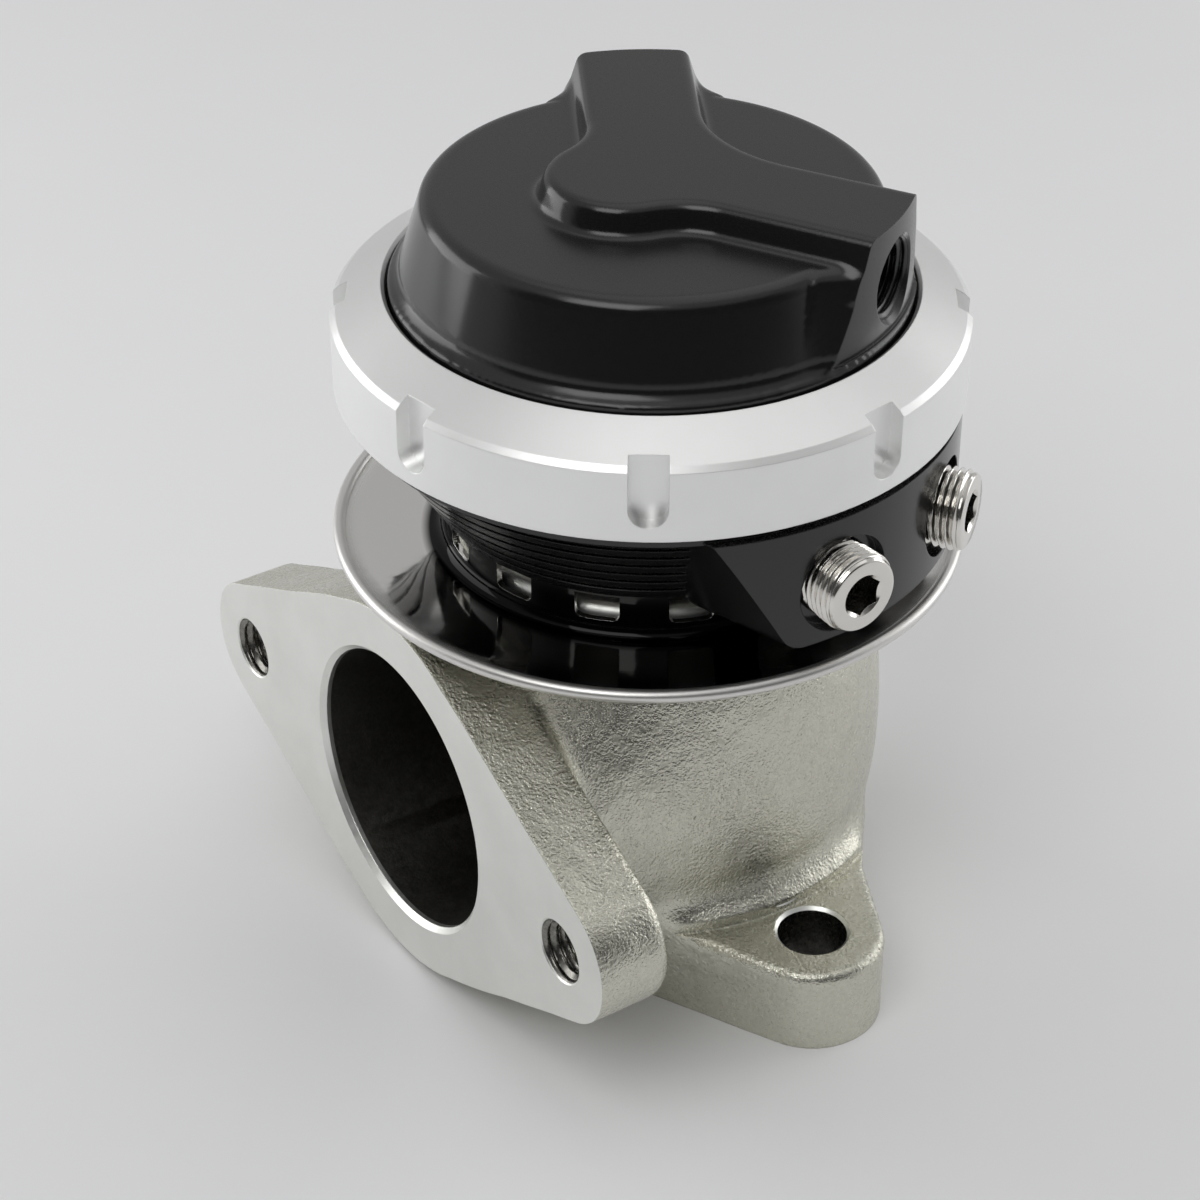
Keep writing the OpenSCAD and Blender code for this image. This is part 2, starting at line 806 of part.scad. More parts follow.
module piston()
  color("silver")
    difference() {
      union() {
        translate([0, 0, piston_z])
          cylinder(r = piston_r - 1, h = piston_h);
        translate([0, 0, piston_z + 1])
          cylinder(r = piston_r, h = piston_h - 1);
        translate([0, 0, piston_z])
          cylinder(r1 = piston_r - 1, r2 = piston_r, h = 1);
      }
      translate([0, 0, spring_z])
        cylinder(r = piston_r - piston_t, h = piston_h);
      translate([0, 0, piston_z - cut])
        cylinder(d = stem_thread_d, h = piston_t + 2 * cut);
    }

module stem_washer()
  color("lightgray")
    stem_ring(washer_r, stem_thread_d / 2, spring_z, washer_t);

module stem_nut()
  color("lightgray")
    difference() {
      translate([0, 0, spring_z + washer_t])
        cylinder(d = nut_flats / cos(30), h = nut_h, $fn = 6);
      translate([0, 0, spring_z])
        cylinder(d = stem_thread_d, h = washer_t + nut_h + cut);
    }

// Height of the wire's centre after a share s of its turns: closed at both ends
function coil_z(s, turns, wire, length) =
  let (closed = 0.75 / turns, open = 1 - 2 * closed, rise = 0.75 * wire,
    free = length - wire - 2 * rise)
  s < closed ? s / closed * rise
    : s < 1 - closed ? rise + (s - closed) / open * free
    : rise + free + (s - 1 + closed) / closed * rise;

// A round wire of sides facets, swept along a closed-end coil
module coil(mean_r, wire, turns, length) {
  sides = 8;
  steps = ceil(turns * 16);
  points = [for (i = [0 : steps]) let (s = i / steps, a = 360 * turns * s)
    for (k = [0 : sides - 1]) let (b = 360 * (k + 0.5) / sides,
      r = mean_r + wire / 2 * cos(b))
      [r * cos(a), r * sin(a), wire / 2 * (1 + sin(b)) + coil_z(s, turns, wire, length)]];
  rings = [for (i = [0 : steps - 1], k = [0 : sides - 1])
    let (a = i * sides + k, b = i * sides + (k + 1) % sides)
    each [[a, a + sides, b], [b, a + sides, b + sides]]];
  first = [for (k = [0 : sides - 1]) k];
  last = [for (k = [sides - 1 : -1 : 0]) steps * sides + k];
  polyhedron(points, concat([first], rings, [last]));
}

spring_len = cap_roof_z - spring_z - 0.1;

module outer_spring()
  color("firebrick")
    translate([0, 0, spring_z + 0.05])
      coil(outer_coil_r, outer_wire, outer_turns, spring_len);

module middle_spring()
  color("royalblue")
    translate([0, 0, spring_z + 0.05])
      coil(middle_coil_r, middle_wire, middle_turns, spring_len);

module inner_spring()
  color("goldenrod")
    translate([0, 0, spring_z + 0.05])
      coil(inner_coil_r, inner_wire, inner_turns, spring_len);

// Points on an arc about c, from the angle a0 to a1
function arc(c, r, a0, a1, steps) =
  [for (i = [0 : steps]) let (a = a0 + (a1 - a0) * i / steps) c + r * [cos(a), sin(a)]];
function turned(points, a) =
  [for (p = points) [p.x * cos(a) - p.y * sin(a), p.x * sin(a) + p.y * cos(a)]];
function mirrored(points) = [for (i = [len(points) - 1 : -1 : 0]) [-points[i].x, points[i].y]];
function backward(points) = [for (i = [len(points) - 1 : -1 : 0]) points[i]];
function opposite(points) = [for (p = points) [p.x, -p.y]];

// Outline of an arm along +X with the fillets that join it to the cap's wall. All of it
// leans in by the shrink s, and its root lies just inside the wall.
function arm_outline(s) =
  let (side = arm_half + arm_fillet, reach = cap_wall_r + arm_fillet,
    along = sqrt(pow(reach, 2) - pow(side, 2)), root_a = asin(side / reach),
    fillet = arc([along, side], arm_fillet + s, 270, 180 + root_a, 12),
    root = (cap_wall_r - s - 0.15) * [cos(root_a + 2), sin(root_a + 2)],
    upper = concat([[arm_reach + 4, arm_half - s]],
      [for (i = [0 : len(fillet) - 2]) fillet[i]], [root]))
  concat(backward(upper), opposite(upper));

// Outline of the raised Y: two arms, a round nose between them, and their fillets
function ridge_outline(s) =
  let (nose = turned([[0, -nose_reach]], -30)[0], side = ridge_half + nose_fillet,
    cx = nose.x + sqrt(pow(nose_r + nose_fillet, 2) - pow(side + nose.y, 2)),
    c = [cx, -side], meet_a = atan2(nose.y - c.y, nose.x - c.x),
    front = turned(concat([[arm_reach + 4, s - ridge_half]],
      arc(c, nose_fillet + s, 90, meet_a, 10)), 30),
    g = turned([c], 30)[0], nose_a = atan2(g.y + nose_reach, g.x),
    round = arc([0, -nose_reach], nose_r - s, nose_a, -180 - nose_a, 24),
    back_y = (ridge_half + back_fillet) / sin(60),
    back = arc([0, back_y], back_fillet + s, 240, 300, 12),
    end = turned([[arm_reach + 4, ridge_half - s]], 30))
  concat(front, [for (i = [1 : len(round) - 2]) round[i]], mirrored(front),
    mirrored(end), back, end);

// A solid through a stack of outlines with equal counts of points, listed clockwise as
// seen from above. levels holds a height and a shrink for each outline, and both ends
// are fans of triangles round hub.
module stack(outlines, levels, hub = [0, 0]) {
  n = len(outlines[0]);
  last = len(levels) - 1;
  rings = [for (i = [0 : last]) each [for (p = outlines[i]) [p.x, p.y, levels[i][0]]]];
  middles = [for (i = [0, last]) [hub.x, hub.y, levels[i][0]]];
  low = n * (last + 1);
  sides = [for (i = [0 : last - 1], k = [0 : n - 1])
    let (a = i * n + k, b = i * n + (k + 1) % n)
    each [[a, b, a + n], [b, b + n, a + n]]];
  ends = [for (k = [0 : n - 1]) let (b = (k + 1) % n)
    each [[low, b, k], [low + 1, last * n + k, last * n + b]]];
  polyhedron(concat(rings, middles), concat(sides, ends));
}

// Heights and shrinks of the cap's body: a flared foot, the leaning wall and a rounded
// upper edge
function body_levels() =
  let (flare = cap_flare, edge = 1.2, wall = cap_h - edge,
    lean = cap_draft * (wall - 2.4))
  [for (level = [[0.4, -flare], [0.7, -0.6 * flare], [1.3, -0.25 * flare], [2.4, 0],
    [wall, lean], [cap_h - 0.4, lean + 0.45], [cap_h, lean + 1.3]])
    [collar_crown_z + level[0], level[1]]];

// The same for the ridge, above the cap's flat top
function ridge_levels() =
  [for (level = [[-2, -0.5], [0, -0.5], [0.6, 0], [ridge_h - 1.2, 0.6],
    [ridge_h - 0.35, 1], [ridge_h, 1.6]])
    [cap_top_z + level[0], level[1]]];

// The arms' levels stand a little above the wall's, so that no two edges meet there
module cap_outside() {
  body = body_levels();
  last = len(body) - 1;
  arms = [for (i = [0 : last]) body[i] + [i > 0 && i < last ? 0.06 : 0, 0]];
  ridge = ridge_levels();
  wall = [for (level = body) [cap_wall_r - level[1], level[0]]];
  rotate_extrude($fn = fine)
    polygon(concat([[0, bead_z], [cap_flange_r, bead_z], [cap_flange_r, cap_flange_z],
      [cap_ring_r, cap_flange_z]], wall, [[0, cap_top_z]]));
  intersection() {
    union() {
      for (angle = arm_angles)
        rotate(angle)
          stack([for (level = arms) arm_outline(level[1])], arms, [arm_reach - 4, 0]);
      stack([for (level = ridge) ridge_outline(level[1])], ridge);
    }
    cylinder(r = arm_reach, h = ridge_z + cut, $fn = fine);
  }
}

// Right half of the spring chamber in the cap
module cap_inside_section() {
  mouth_r = cap_flange_r - 5.6;
  low_r = cap_wall_r - cap_wall;
  high_r = low_r - 3.2;
  polygon([[0, bead_z - cut], [mouth_r, bead_z - cut], [mouth_r, bead_z + 1.2],
    [low_r, bead_z + 4.5], [low_r, collar_crown_z + 1], [high_r, cap_roof_z - 2],
    [high_r - 2, cap_roof_z], [0, cap_roof_z]]);
}

module cap()
  color("black")
    difference() {
      cap_outside();
      rotate_extrude($fn = fine)
        cap_inside_section();
      for (angle = arm_angles)
        rotate(angle)
          translate([arm_reach, 0, cap_port_z])
            rotate([0, 90, 0]) {
              translate([0, 0, -tap_depth - 2.5])
                cylinder(d = tap_drill_d, h = tap_depth + 2.5 + cut);
              translate([0, 0, -1.4])
                cylinder(d1 = tap_drill_d, d2 = tap_drill_d + 4.8, h = 2.4);
            }
    }

// Right half of the collar: threaded skirt, crowned top and the lip that holds the cap
module collar_section() {
  edge_r = collar_r - collar_chamfer;
  polygon([[thread_r, collar_z], [collar_r, collar_z],
    [collar_r, collar_top_z - collar_chamfer], [edge_r, collar_top_z],
    [collar_bore_r + 0.5, collar_crown_z], [collar_bore_r, collar_crown_z - 0.4],
    [collar_bore_r, collar_lip_z], [thread_r, collar_lip_z]]);
}

module locking_collar() {
  notch_z = collar_z + notch_floor + notch_w / 2;
  color("lightgray")
    difference() {
      rotate_extrude($fn = fine)
        collar_section();
      for (i = [0 : notch_count - 1])
        rotate(notch_angle + i * 360 / notch_count)
          translate([collar_r - notch_depth, 0, notch_z])
            rotate([90, 0, 90])
              linear_extrude(notch_depth + 2) {
                circle(d = notch_w, $fn = 64);
                translate([-notch_w / 2, 0])
                  square([notch_w, collar_crown_z - notch_z + cut]);
              }
    }
}

valve_body();
seat_ring();
valve_guide();
poppet_valve();
thermal_spacer();
heat_shield();
lower_housing();
housing_screws();
shaft_bush();
shaft_seal();
seal_clip();
port_plugs();
diaphragm_plate();
diaphragm();
piston();
stem_washer();
stem_nut();
outer_spring();
middle_spring();
inner_spring();
cap();
locking_collar();
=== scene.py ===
import math

import bmesh
import bpy
import numpy as np
from mathutils import Matrix, Vector


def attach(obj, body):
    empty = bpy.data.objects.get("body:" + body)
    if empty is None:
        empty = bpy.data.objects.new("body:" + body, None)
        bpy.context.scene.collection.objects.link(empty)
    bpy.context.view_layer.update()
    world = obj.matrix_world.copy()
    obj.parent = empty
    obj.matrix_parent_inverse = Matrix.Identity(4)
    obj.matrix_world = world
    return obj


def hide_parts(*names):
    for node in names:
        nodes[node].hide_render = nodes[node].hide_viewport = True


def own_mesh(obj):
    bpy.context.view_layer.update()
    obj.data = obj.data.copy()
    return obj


# The looks of a turbo wastegate: a cast steel body, a polished heat shield and a black
# and silver anodised actuator. Sizes, places and grain are written in millimetres and
# reach Blender in metres. Z is the valve's axis, z = 0 the underside of the inlet
# flange, the outlet faces -Y, and the flanges' bolts are on the X sides.

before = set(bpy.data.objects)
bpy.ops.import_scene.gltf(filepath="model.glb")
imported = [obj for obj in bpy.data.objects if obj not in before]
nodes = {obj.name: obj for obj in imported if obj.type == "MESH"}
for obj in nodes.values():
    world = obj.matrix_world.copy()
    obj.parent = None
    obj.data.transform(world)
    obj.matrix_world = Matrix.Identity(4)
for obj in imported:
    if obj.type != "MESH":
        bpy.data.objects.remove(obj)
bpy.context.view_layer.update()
scene = bpy.context.scene
scene.view_settings.view_transform = "Standard"

MM = 0.001
SPARE = 1  # how far a form or cutter runs past the face where it ends

# Flanges and barrel of the cast body. BOSS_EDGE is the cut round the boss's edge,
# outwards and upwards from its corner.
PORT_R = 19.2
BOLT_HALF = 38.4
FLANGE_MID_R = 26.2
FLANGE_END_R = 9.4
INLET_T = 12.0
OUTLET_T = 10.0
OUTLET_REACH = 39.2
OUTLET_Z = 27.0
BARREL_R = 31.4
BULGE_R = 80.0
SHOULDER_Z = 51.0
SHOULDER_ROUND = 5.0
NECK_INSET = 0.1
NECK_START_Y = -6
NECK_TOP_Z = 53.3
BOSS_R = 24.6
BOSS_Z = 57.4
BOSS_EDGE = ((-2.4, 0.2), (-1.0, -0.25), (-0.4, -0.8), (0.3, -2.4), (2, -2.4), (2, 0.2))

# Fillets of the casting, wide on the ears and nearly none in front of the barrel. EAR_STOCK
# is the bead that milling leaves round the barrel. RIPPLE_WAVES lists wave and shift.
NECK_FILLET = 7.0
PLATE_FILLET = 4.5
FOOT_FILLET = 5.0
LEAST_FILLET = 0.01
PLATE_ROUND = 1.2
EAR_START = 12
EAR_BLEND = 12
EAR_STOCK = 1.3
EAR_STOCK_EDGE = 1
EAR_ROUND = 0.9
RIPPLE = 0.05
RIPPLE_WAVES = ((0.45, 1), (0.5, 0), (0.4, 2))

# Chamber, guide boss and machined faces of the body. CHAMBER_FIND says how far outside
# the chamber, by radius and height, a cast face still counts as its wall. BLOCK_Z lists
# heights of the blocks that cut the flat faces: lowest, under the foot, highest.
CHAMBER_R = 25.0
CHAMBER_Z = (9.5, 46.5)
CHAMBER_ROUND = 9.0
CHAMBER_FIND = (0.5, 1)
GUIDE_BOSS_R = 9.0
GUIDE_BOSS_H = 7.0
GUIDE_BOSS_ROUND = 1.0
GUIDE_BOSS_FILLET = 2.0
GUIDE_R = 6.0
GUIDE_CUT_Z = (30, 70)
SEAT_R = 21.0
SEAT_H = 6.0
THROAT_R = 19.6
THROAT_TOP_Z = 14
PORT_SKIN = 0.05
PORT_DEPTH = 25
PORT_CHAMFER = 0.7
MOUTH_LAND = 0.6
EAR_MILL_R = 32.9
EAR_MILL_ANGLE = 32.0
EAR_MILL_H = (0.03, 1.6)
EAR_MILL_SIDE = 38
BLOCK = 60
BLOCK_Z = (-20, -10, 80)
BODY_STEP = 0.75
BODY_LOW, BODY_HIGH = (-49.5, -41.5, -2.3), (49.5, 33.5, 60.0)

# Holes of the flanges and of the ring of housing screws.
INLET_HOLE_R = 4.5
HOLE_CHAMFER = 0.4
TAP_R = 3.4
TAP_MAJOR_R = 4.0
TAP_SLEEVE_R = 4.2
TAP_SLEEVE_T = 0.2
TAP_START = 0.2
TAP_PITCH = 1.25
TAP_CHAMFER = 1.0
SCREWS = 6
SCREW_CIRCLE_R = 16.0
SCREW_R = 2.5
SCREW_PLAY = 0.3
SCREW_REACH = 8.0
SCREW_CUT = 20

# Threads: pitch and taper of the pipe threads, then rows to a pitch, slope and crest of
# the thread's form, and the depth allowed along a tapped hole.
NPT_PITCH = 0.94
NPT_TAPER = 1 / 32
THREAD_ROWS = 14
THREAD_SLOPE = 1.25
THREAD_CREST = 0.125
THREAD_ROOM = 0.6

# Heat shield: flat top, wall with windows, rising dish and rolled lip. DISH_END says how
# far before and below the lip's centre the dish ends, DISH_UNDER where the underside turns
# up to the wall: outwards, up at the dish, up at the wall.
SHIELD_Z = 60.6
SHIELD_T = 0.9
SHIELD_BORE_R = 6.5
SHIELD_WALL_R = 26.4
SHIELD_CORNER = 0.3
SHIELD_CUT = (-1, 2)
SHIELD_R = 40.9
SHIELD_LIP_R = 0.85
LIP_ANGLES = (160, -130)
DISH_Z = 54.5
DISH_RISE = 1.8
DISH_ROUND = 1.8
DISH_POWER = 3.2
DISH_STEPS = 24
DISH_END = (0.6, 0.15)
DISH_UNDER = (1.2, 0.05, 1.4)
WINDOWS = 14
WINDOW_START = -48.5
WINDOW_W = 5.7
WINDOW_H = 3.6
WINDOW_ROUND = 1
WINDOW_TOP = 1.3
WINDOW_CUT = (-3, 1)

# Where the shield's painted dark reflection (black on the wall and the inner dish) and its satin
# part begin and end, by radius.
SHIELD_WALL_PAINTED_REFLECTION_R = (26.45, 26.55)
SHIELD_PAINTED_REFLECTION_R = (28.4, 29.6)
SHIELD_SATIN_R = (37.2, 39.4)

# Port plugs. PLUG_END lists the end's steps: back, inwards and depth of thread there.
# SOCKET_MOUTH is the socket's countersink: below and above the end, narrower and wider.
PLUG_ANGLES = (2.0, 34.0)
PLUG_TURNS = (0.4, 1.3)
PLUG_Z = 66.5
PLUG_REACH = 37.6
PLUG_R = 5.1
PLUG_IN = 4.6
PLUG_OUT = 5.4
PLUG_THREAD_OUT = 1.0
PLUG_THREAD = 0.62
PLUG_END = ((0.55, 0.1, 0.1), (0.45, 0.15, 0.0), (0.12, 0.35, 0.0), (0.0, 0.6, 0.0))
PLUG_SOCKET = 4.76
SOCKET_DEPTH = 4.2
SOCKET_TIP = 5.2
SOCKET_MOUTH = ((1.2, 0.5), (0.1, 0.7))

# Cap: flange, ring, drafted wall and round top. CAP_INSIDE lists radius and height.
BEAD_Z = 83.3
CAP_FLANGE_R = 36.2
CAP_FLANGE_Z = 85.9
CAP_RING_R = 32.7
CAP_RING_LAP = 0.5
CAP_FOOT_Z = 90.8
CAP_FOOT_LAP = 0.4
CAP_FLARE_POWER = 2.4
CAP_WALL_R = 31.15
CAP_WALL_Z = 93.2
CAP_DRAFT = 0.3
CAP_TOP_Z = 102.8
CAP_ROUND = 1.4
CAP_INSIDE = ((30.6, BEAD_Z + 1.2), (27.6, BEAD_Z + 4.5), (27.6, CAP_FOOT_Z + 1), (24.4, 97.0),
              (22.4, 99.0), (0, 99.0))
CAP_STEP = 0.36
CAP_HALF = 37.0
CAP_MARGIN = 0.9
CAP_SPARE = 2

# The cap's two port arms and the raised Y on them. ARM_CUT trims the arms' ends: from a
# height, out to a radius, up to a height.
ARM_HALF = 10.35
ARM_FILLET = 9.85
ARM_REACH = 32.3
ARM_SPARE = 6
ARM_ANGLES = (30.0, 150.0)
ARM_END_Z = 91.8
ARM_END_BLEND = 0.4
ARM_END_STOCK = 1.5
ARM_CUT = (91.9, 45, 120)
RIDGE_Z = 106.4
RIDGE_DRAFT = 0.33
RIDGE_HALF = 8.0
RIDGE_BASE = 0.6
RIDGE_ROOT = 3
RIDGE_ROUND = 0.9
NOSE_R = 10.5
NOSE_REACH = 4.2
NOSE_FILLET = 10.0
BACK_FILLET = 18.0
CAP_PORT_Z = 98.2
CAP_PORT_R = 4.35
CAP_THREAD_R = 4.95
CAP_SLEEVE_R = 5.1
CAP_SLEEVE_T = 0.15
CAP_PORT_CHAMFER = 1.4
CAP_PORT_DEPTH = 9.5
CAP_THREAD_START = 0.02
CAP_THREAD_SHORT = 2.5

# Springs and diaphragm. The diaphragm's rows are radius and height above its plate.
SPRING_Z = 75.05
SPRING_LEN = 23.9
SPRING_DEAD_TURNS = 0.75
SPRING_STEPS = 40
SPRING_SIDES = 14
RIM_Z = 82.0
DIAPHRAGM_Z = 72.0
DIAPHRAGM_UNDER = ((3.05, 0.0), (22.6, 0.0), (24.6, 0.5), (26.2, 1.8), (28.0, 3.8), (29.6, 5.4),
                   (30.6, 7.2), (31.1, 9.0))
DIAPHRAGM_BEAD = ((31.6, RIM_Z), (CAP_FLANGE_R, RIM_Z), (CAP_FLANGE_R, BEAD_Z), (31.0, BEAD_Z))
DIAPHRAGM_OVER = ((30.2, 9.6), (29.6, 8.0), (28.6, 6.4), (27.0, 5.0), (25.6, 3.4), (24.2, 1.9),
                  (22.6, 1.2), (3.05, 1.2))

# Camera, as it was solved from the photograph, and the light.
PHOTO_PIXELS = 1200
FOCAL_PIXELS = 3232.221
SENSOR = 36
CAMERA_AT = (289.459, -202.878, 284.091)
CAMERA_AHEAD = (-0.683797, 0.461584, -0.565122)
CAMERA_UP = (-0.4705, 0.313053, 0.825001)
LIGHT_TARGET = (0, 0, 55)
DARK_SIDE = (0.829, -0.559, 0.0)
FLOOR_R = 3000
FLOOR_T = 3


# Mesh helpers

def add_object(name, mesh):
    obj = bpy.data.objects.new(name, mesh)
    scene.collection.objects.link(obj)
    return obj


def mesh_of(name, points, faces):
    """A mesh from points in millimetres."""
    mesh = bpy.data.meshes.new(name)
    mesh.from_pydata([tuple(p) for p in np.asarray(points) * MM], [],
                     [tuple(f) for f in faces])
    mesh.update()
    return mesh


def solid(name, points, faces, place=None):
    """An object from a closed mesh, moved to its place where one is given, with its
    normals outwards."""
    mesh = mesh_of(name, points, faces)
    if place is not None:
        mesh.transform(Matrix.Translation(place.translation * MM) @ place.to_3x3().to_4x4())
    bm = bmesh.new()
    bm.from_mesh(mesh)
    bmesh.ops.recalc_face_normals(bm, faces=bm.faces)
    bm.to_mesh(mesh)
    bm.free()
    return add_object(name, mesh)


def aim(origin, direction, turn=0.0):
    """Places a solid made along +Z at origin, in millimetres, along a direction."""
    rotation = Vector(direction).to_track_quat("Z", "Y").to_matrix().to_4x4()
    return Matrix.Translation(origin) @ rotation @ Matrix.Rotation(turn, 4, "Z")


def polar(r, a):
    return r * math.cos(a), r * math.sin(a)


def lathe(name, profile, steps, place=None):
    """A solid turned round Z from a profile that starts and ends on the axis, or that is
    a closed ring away from it."""
    points, rings = [], []
    for r, z in profile:
        if r <= 0:
            rings.append([len(points)])
            points.append((0.0, 0.0, z))
        else:
            rings.append(list(range(len(points), len(points) + steps)))
            points += [(*polar(r, 2 * math.pi * i / steps), z) for i in range(steps)]
    around = rings[:1] if profile[0][0] > 0 else []
    faces = []
    for low, high in zip(rings, rings[1:] + around):
        for i in range(steps):
            j = (i + 1) % steps
            if len(low) == 1:
                faces.append((low[0], high[j], high[i]))
            elif len(high) == 1:
                faces.append((low[i], low[j], high[0]))
            else:
                faces.append((low[i], low[j], high[j], high[i]))
    return solid(name, points, faces, place)


def block(name, low, high):
    points = [(x, y, z) for x in (low[0], high[0]) for y in (low[1], high[1])
              for z in (low[2], high[2])]
    faces = [(0, 1, 3, 2), (4, 6, 7, 5), (0, 4, 5, 1), (2, 3, 7, 6), (0, 2, 6, 4), (1, 5, 7, 3)]
    return solid(name, points, faces)


def prism(name, outline, low, high):
    n = len(outline)
    points = [(x, y, z) for z in (low, high) for x, y in outline]
    faces = [tuple(range(n)), tuple(range(n, 2 * n))]
    faces += [(i, (i + 1) % n, n + (i + 1) % n, n + i) for i in range(n)]
    return solid(name, points, faces)


def arc(centre, r, a0, a1, steps):
    """Points of an arc from angle a0 to a1, in degrees."""
    spokes = [polar(r, math.radians(a0 + (a1 - a0) * i / steps)) for i in range(steps + 1)]
    return [(centre[0] + x, centre[1] + y) for x, y in spokes]


def turned(outline, angle):
    c, s = math.cos(math.radians(angle)), math.sin(math.radians(angle))
    return [(x * c - y * s, x * s + y * c) for x, y in outline]


def mirrored(outline):
    return [(-x, y) for x, y in reversed(outline)]


def carve(obj, cutters, material):
    """Cuts the cutters out of obj one after another and deletes them. The cut faces get
    the cutter's materials, or the one given."""
    for cutter in cutters:
        if not cutter.data.materials:
            cutter.data.materials.append(material)
        step = obj.modifiers.new("cut", "BOOLEAN")
        step.operation = "DIFFERENCE"
        step.solver = "EXACT"
        step.material_mode = "TRANSFER"
        step.object = cutter
        graph = bpy.context.evaluated_depsgraph_get()
        mesh = bpy.data.meshes.new_from_object(obj.evaluated_get(graph))
        obj.modifiers.clear()
        obj.data = mesh
        bpy.data.objects.remove(cutter)


def smooth(obj, angle):
    """Smooth shading, with edges sharper than an angle in degrees kept sharp."""
    for face in obj.data.polygons:
        face.use_smooth = True
    obj.data.set_sharp_from_angle(angle=math.radians(angle))


def surface_net(field, low, step):
    """Points and quads of the zero level of a field sampled on a grid."""
    inside = field < 0
    shape = np.array(field.shape)
    total = np.zeros(shape - 1, int)
    for i in (0, 1):
        for j in (0, 1):
            for k in (0, 1):
                total += inside[i:shape[0] - 1 + i, j:shape[1] - 1 + j, k:shape[2] - 1 + k]
    cells = np.argwhere((total > 0) & (total < 8))
    index = np.full(shape - 1, -1)
    index[tuple(cells.T)] = np.arange(len(cells))
    points = np.zeros((len(cells), 3))
    hits = np.zeros(len(cells))
    for axis in range(3):
        for u in (0, 1):
            for v in (0, 1):
                start = np.zeros(3, int)
                start[(axis + 1) % 3], start[(axis + 2) % 3] = u, v
                end = start.copy()
                end[axis] = 1
                a = field[tuple((cells + start).T)]
                b = field[tuple((cells + end).T)]
                cross = (a < 0) != (b < 0)
                t = a[cross] / (a[cross] - b[cross])
                points[cross] += start
                points[cross, axis] += t
                hits += cross
    points = np.array(low) + step * (cells + points / hits[:, None])
    quads = []
    for axis in range(3):
        ahead = np.take(inside, range(1, shape[axis]), axis)
        here = np.take(inside, range(shape[axis] - 1), axis)
        edges = np.argwhere(ahead != here)
        u, v = (axis + 1) % 3, (axis + 2) % 3
        keep = (edges[:, u] > 0) & (edges[:, v] > 0)
        keep &= (edges[:, u] < shape[u] - 1) & (edges[:, v] < shape[v] - 1)
        edges = edges[keep]
        out = here[tuple(edges.T)]
        du, dv = np.eye(3, dtype=int)[u], np.eye(3, dtype=int)[v]
        quad = np.stack([index[tuple((edges - s).T)] for s in (0 * du, du, du + dv, dv)], 1)
        quads.append(np.where(out[:, None], quad, quad[:, ::-1]))
    return points, np.concatenate(quads)


def grid(low, high, step):
    axes = [np.arange(a, b + step, step) for a, b in zip(low, high)]
    return np.meshgrid(*axes, indexing="ij")


def round_union(a, b, r):
    """Union of two distance fields with a fillet of radius r between them."""
    u, v = np.maximum(r - a, 0), np.maximum(r - b, 0)
    return np.maximum(r, np.minimum(a, b)) - np.sqrt(u * u + v * v)


def round_common(a, b, r):
    """Common part of two distance fields with its edge rounded by r."""
    u, v = np.maximum(r + a, 0), np.maximum(r + b, 0)
    return np.minimum(-r, np.maximum(a, b)) + np.sqrt(u * u + v * v)


def outline_distance(x, y, outline):
    """Signed distance from points to a closed outline, negative inside."""
    best = np.full(x.shape, 1e9)
    inside = np.zeros(x.shape, bool)
    last = outline[-1]
    for point in outline:
        (ax, ay), (bx, by) = last, point
        ex, ey = bx - ax, by - ay
        length = ex * ex + ey * ey
        if length > 1e-12:
            t = np.clip(((x - ax) * ex + (y - ay) * ey) / length, 0, 1)
            best = np.minimum(best, (x - ax - t * ex) ** 2 + (y - ay - t * ey) ** 2)
            rises = (ay > y) != (by > y)
            if ey:
                inside ^= rises & (x < ax + (y - ay) * ex / ey)
        last = point
    return np.where(inside, -1, 1) * np.sqrt(best)


def thread_tube(name, profile, pitch, depth, place, outer=None, steps=96):
    """A tube with a helical thread. profile lists z, radius and the full depth allowed
    there. A plain tube has its thread outside, cut inwards from that radius. With an
    outer radius it is a sleeve whose bore carries the thread, cut outwards."""
    heights = np.array([p[0] for p in profile])
    rows = np.unique(np.concatenate([np.arange(heights[0], heights[-1], pitch / THREAD_ROWS),
                                     heights]))
    angle = np.linspace(0, 2 * math.pi, steps, endpoint=False)
    z, a = np.meshgrid(rows, angle, indexing="ij")
    base = np.interp(z, heights, [p[1] for p in profile])
    room = np.interp(z, heights, [p[2] for p in profile])
    phase = (z / pitch - a / (2 * math.pi)) % 1
    wave = np.clip(np.abs(2 * phase - 1) * THREAD_SLOPE - THREAD_CREST, 0, 1)
    cut = np.minimum(depth, room) * wave
    radius = base - cut if outer is None else base + cut
    points = np.stack([radius * np.cos(a), radius * np.sin(a), z], -1).reshape(-1, 3)
    n = len(rows)
    faces = [(i * steps + k, i * steps + (k + 1) % steps, (i + 1) * steps + (k + 1) % steps,
              (i + 1) * steps + k) for i in range(n - 1) for k in range(steps)]
    top = (n - 1) * steps
    at = len(points)
    if outer is None:
        points = np.vstack([points, [0, 0, rows[0]], [0, 0, rows[-1]]])
        faces += [(at, (k + 1) % steps, k) for k in range(steps)]
        faces += [(at + 1, top + k, top + (k + 1) % steps) for k in range(steps)]
    else:
        ring = np.stack([outer * np.cos(angle), outer * np.sin(angle)], -1)
        for z_end in (rows[0], rows[-1]):
            points = np.vstack([points, np.c_[ring, np.full(steps, z_end)]])
        for k in range(steps):
            j = (k + 1) % steps
            faces.append((at + k, at + j, j, k))
            faces.append((top + k, top + j, at + steps + j, at + steps + k))
            faces.append((at + j, at + k, at + steps + k, at + steps + j))
    return solid(name, points, faces, place)


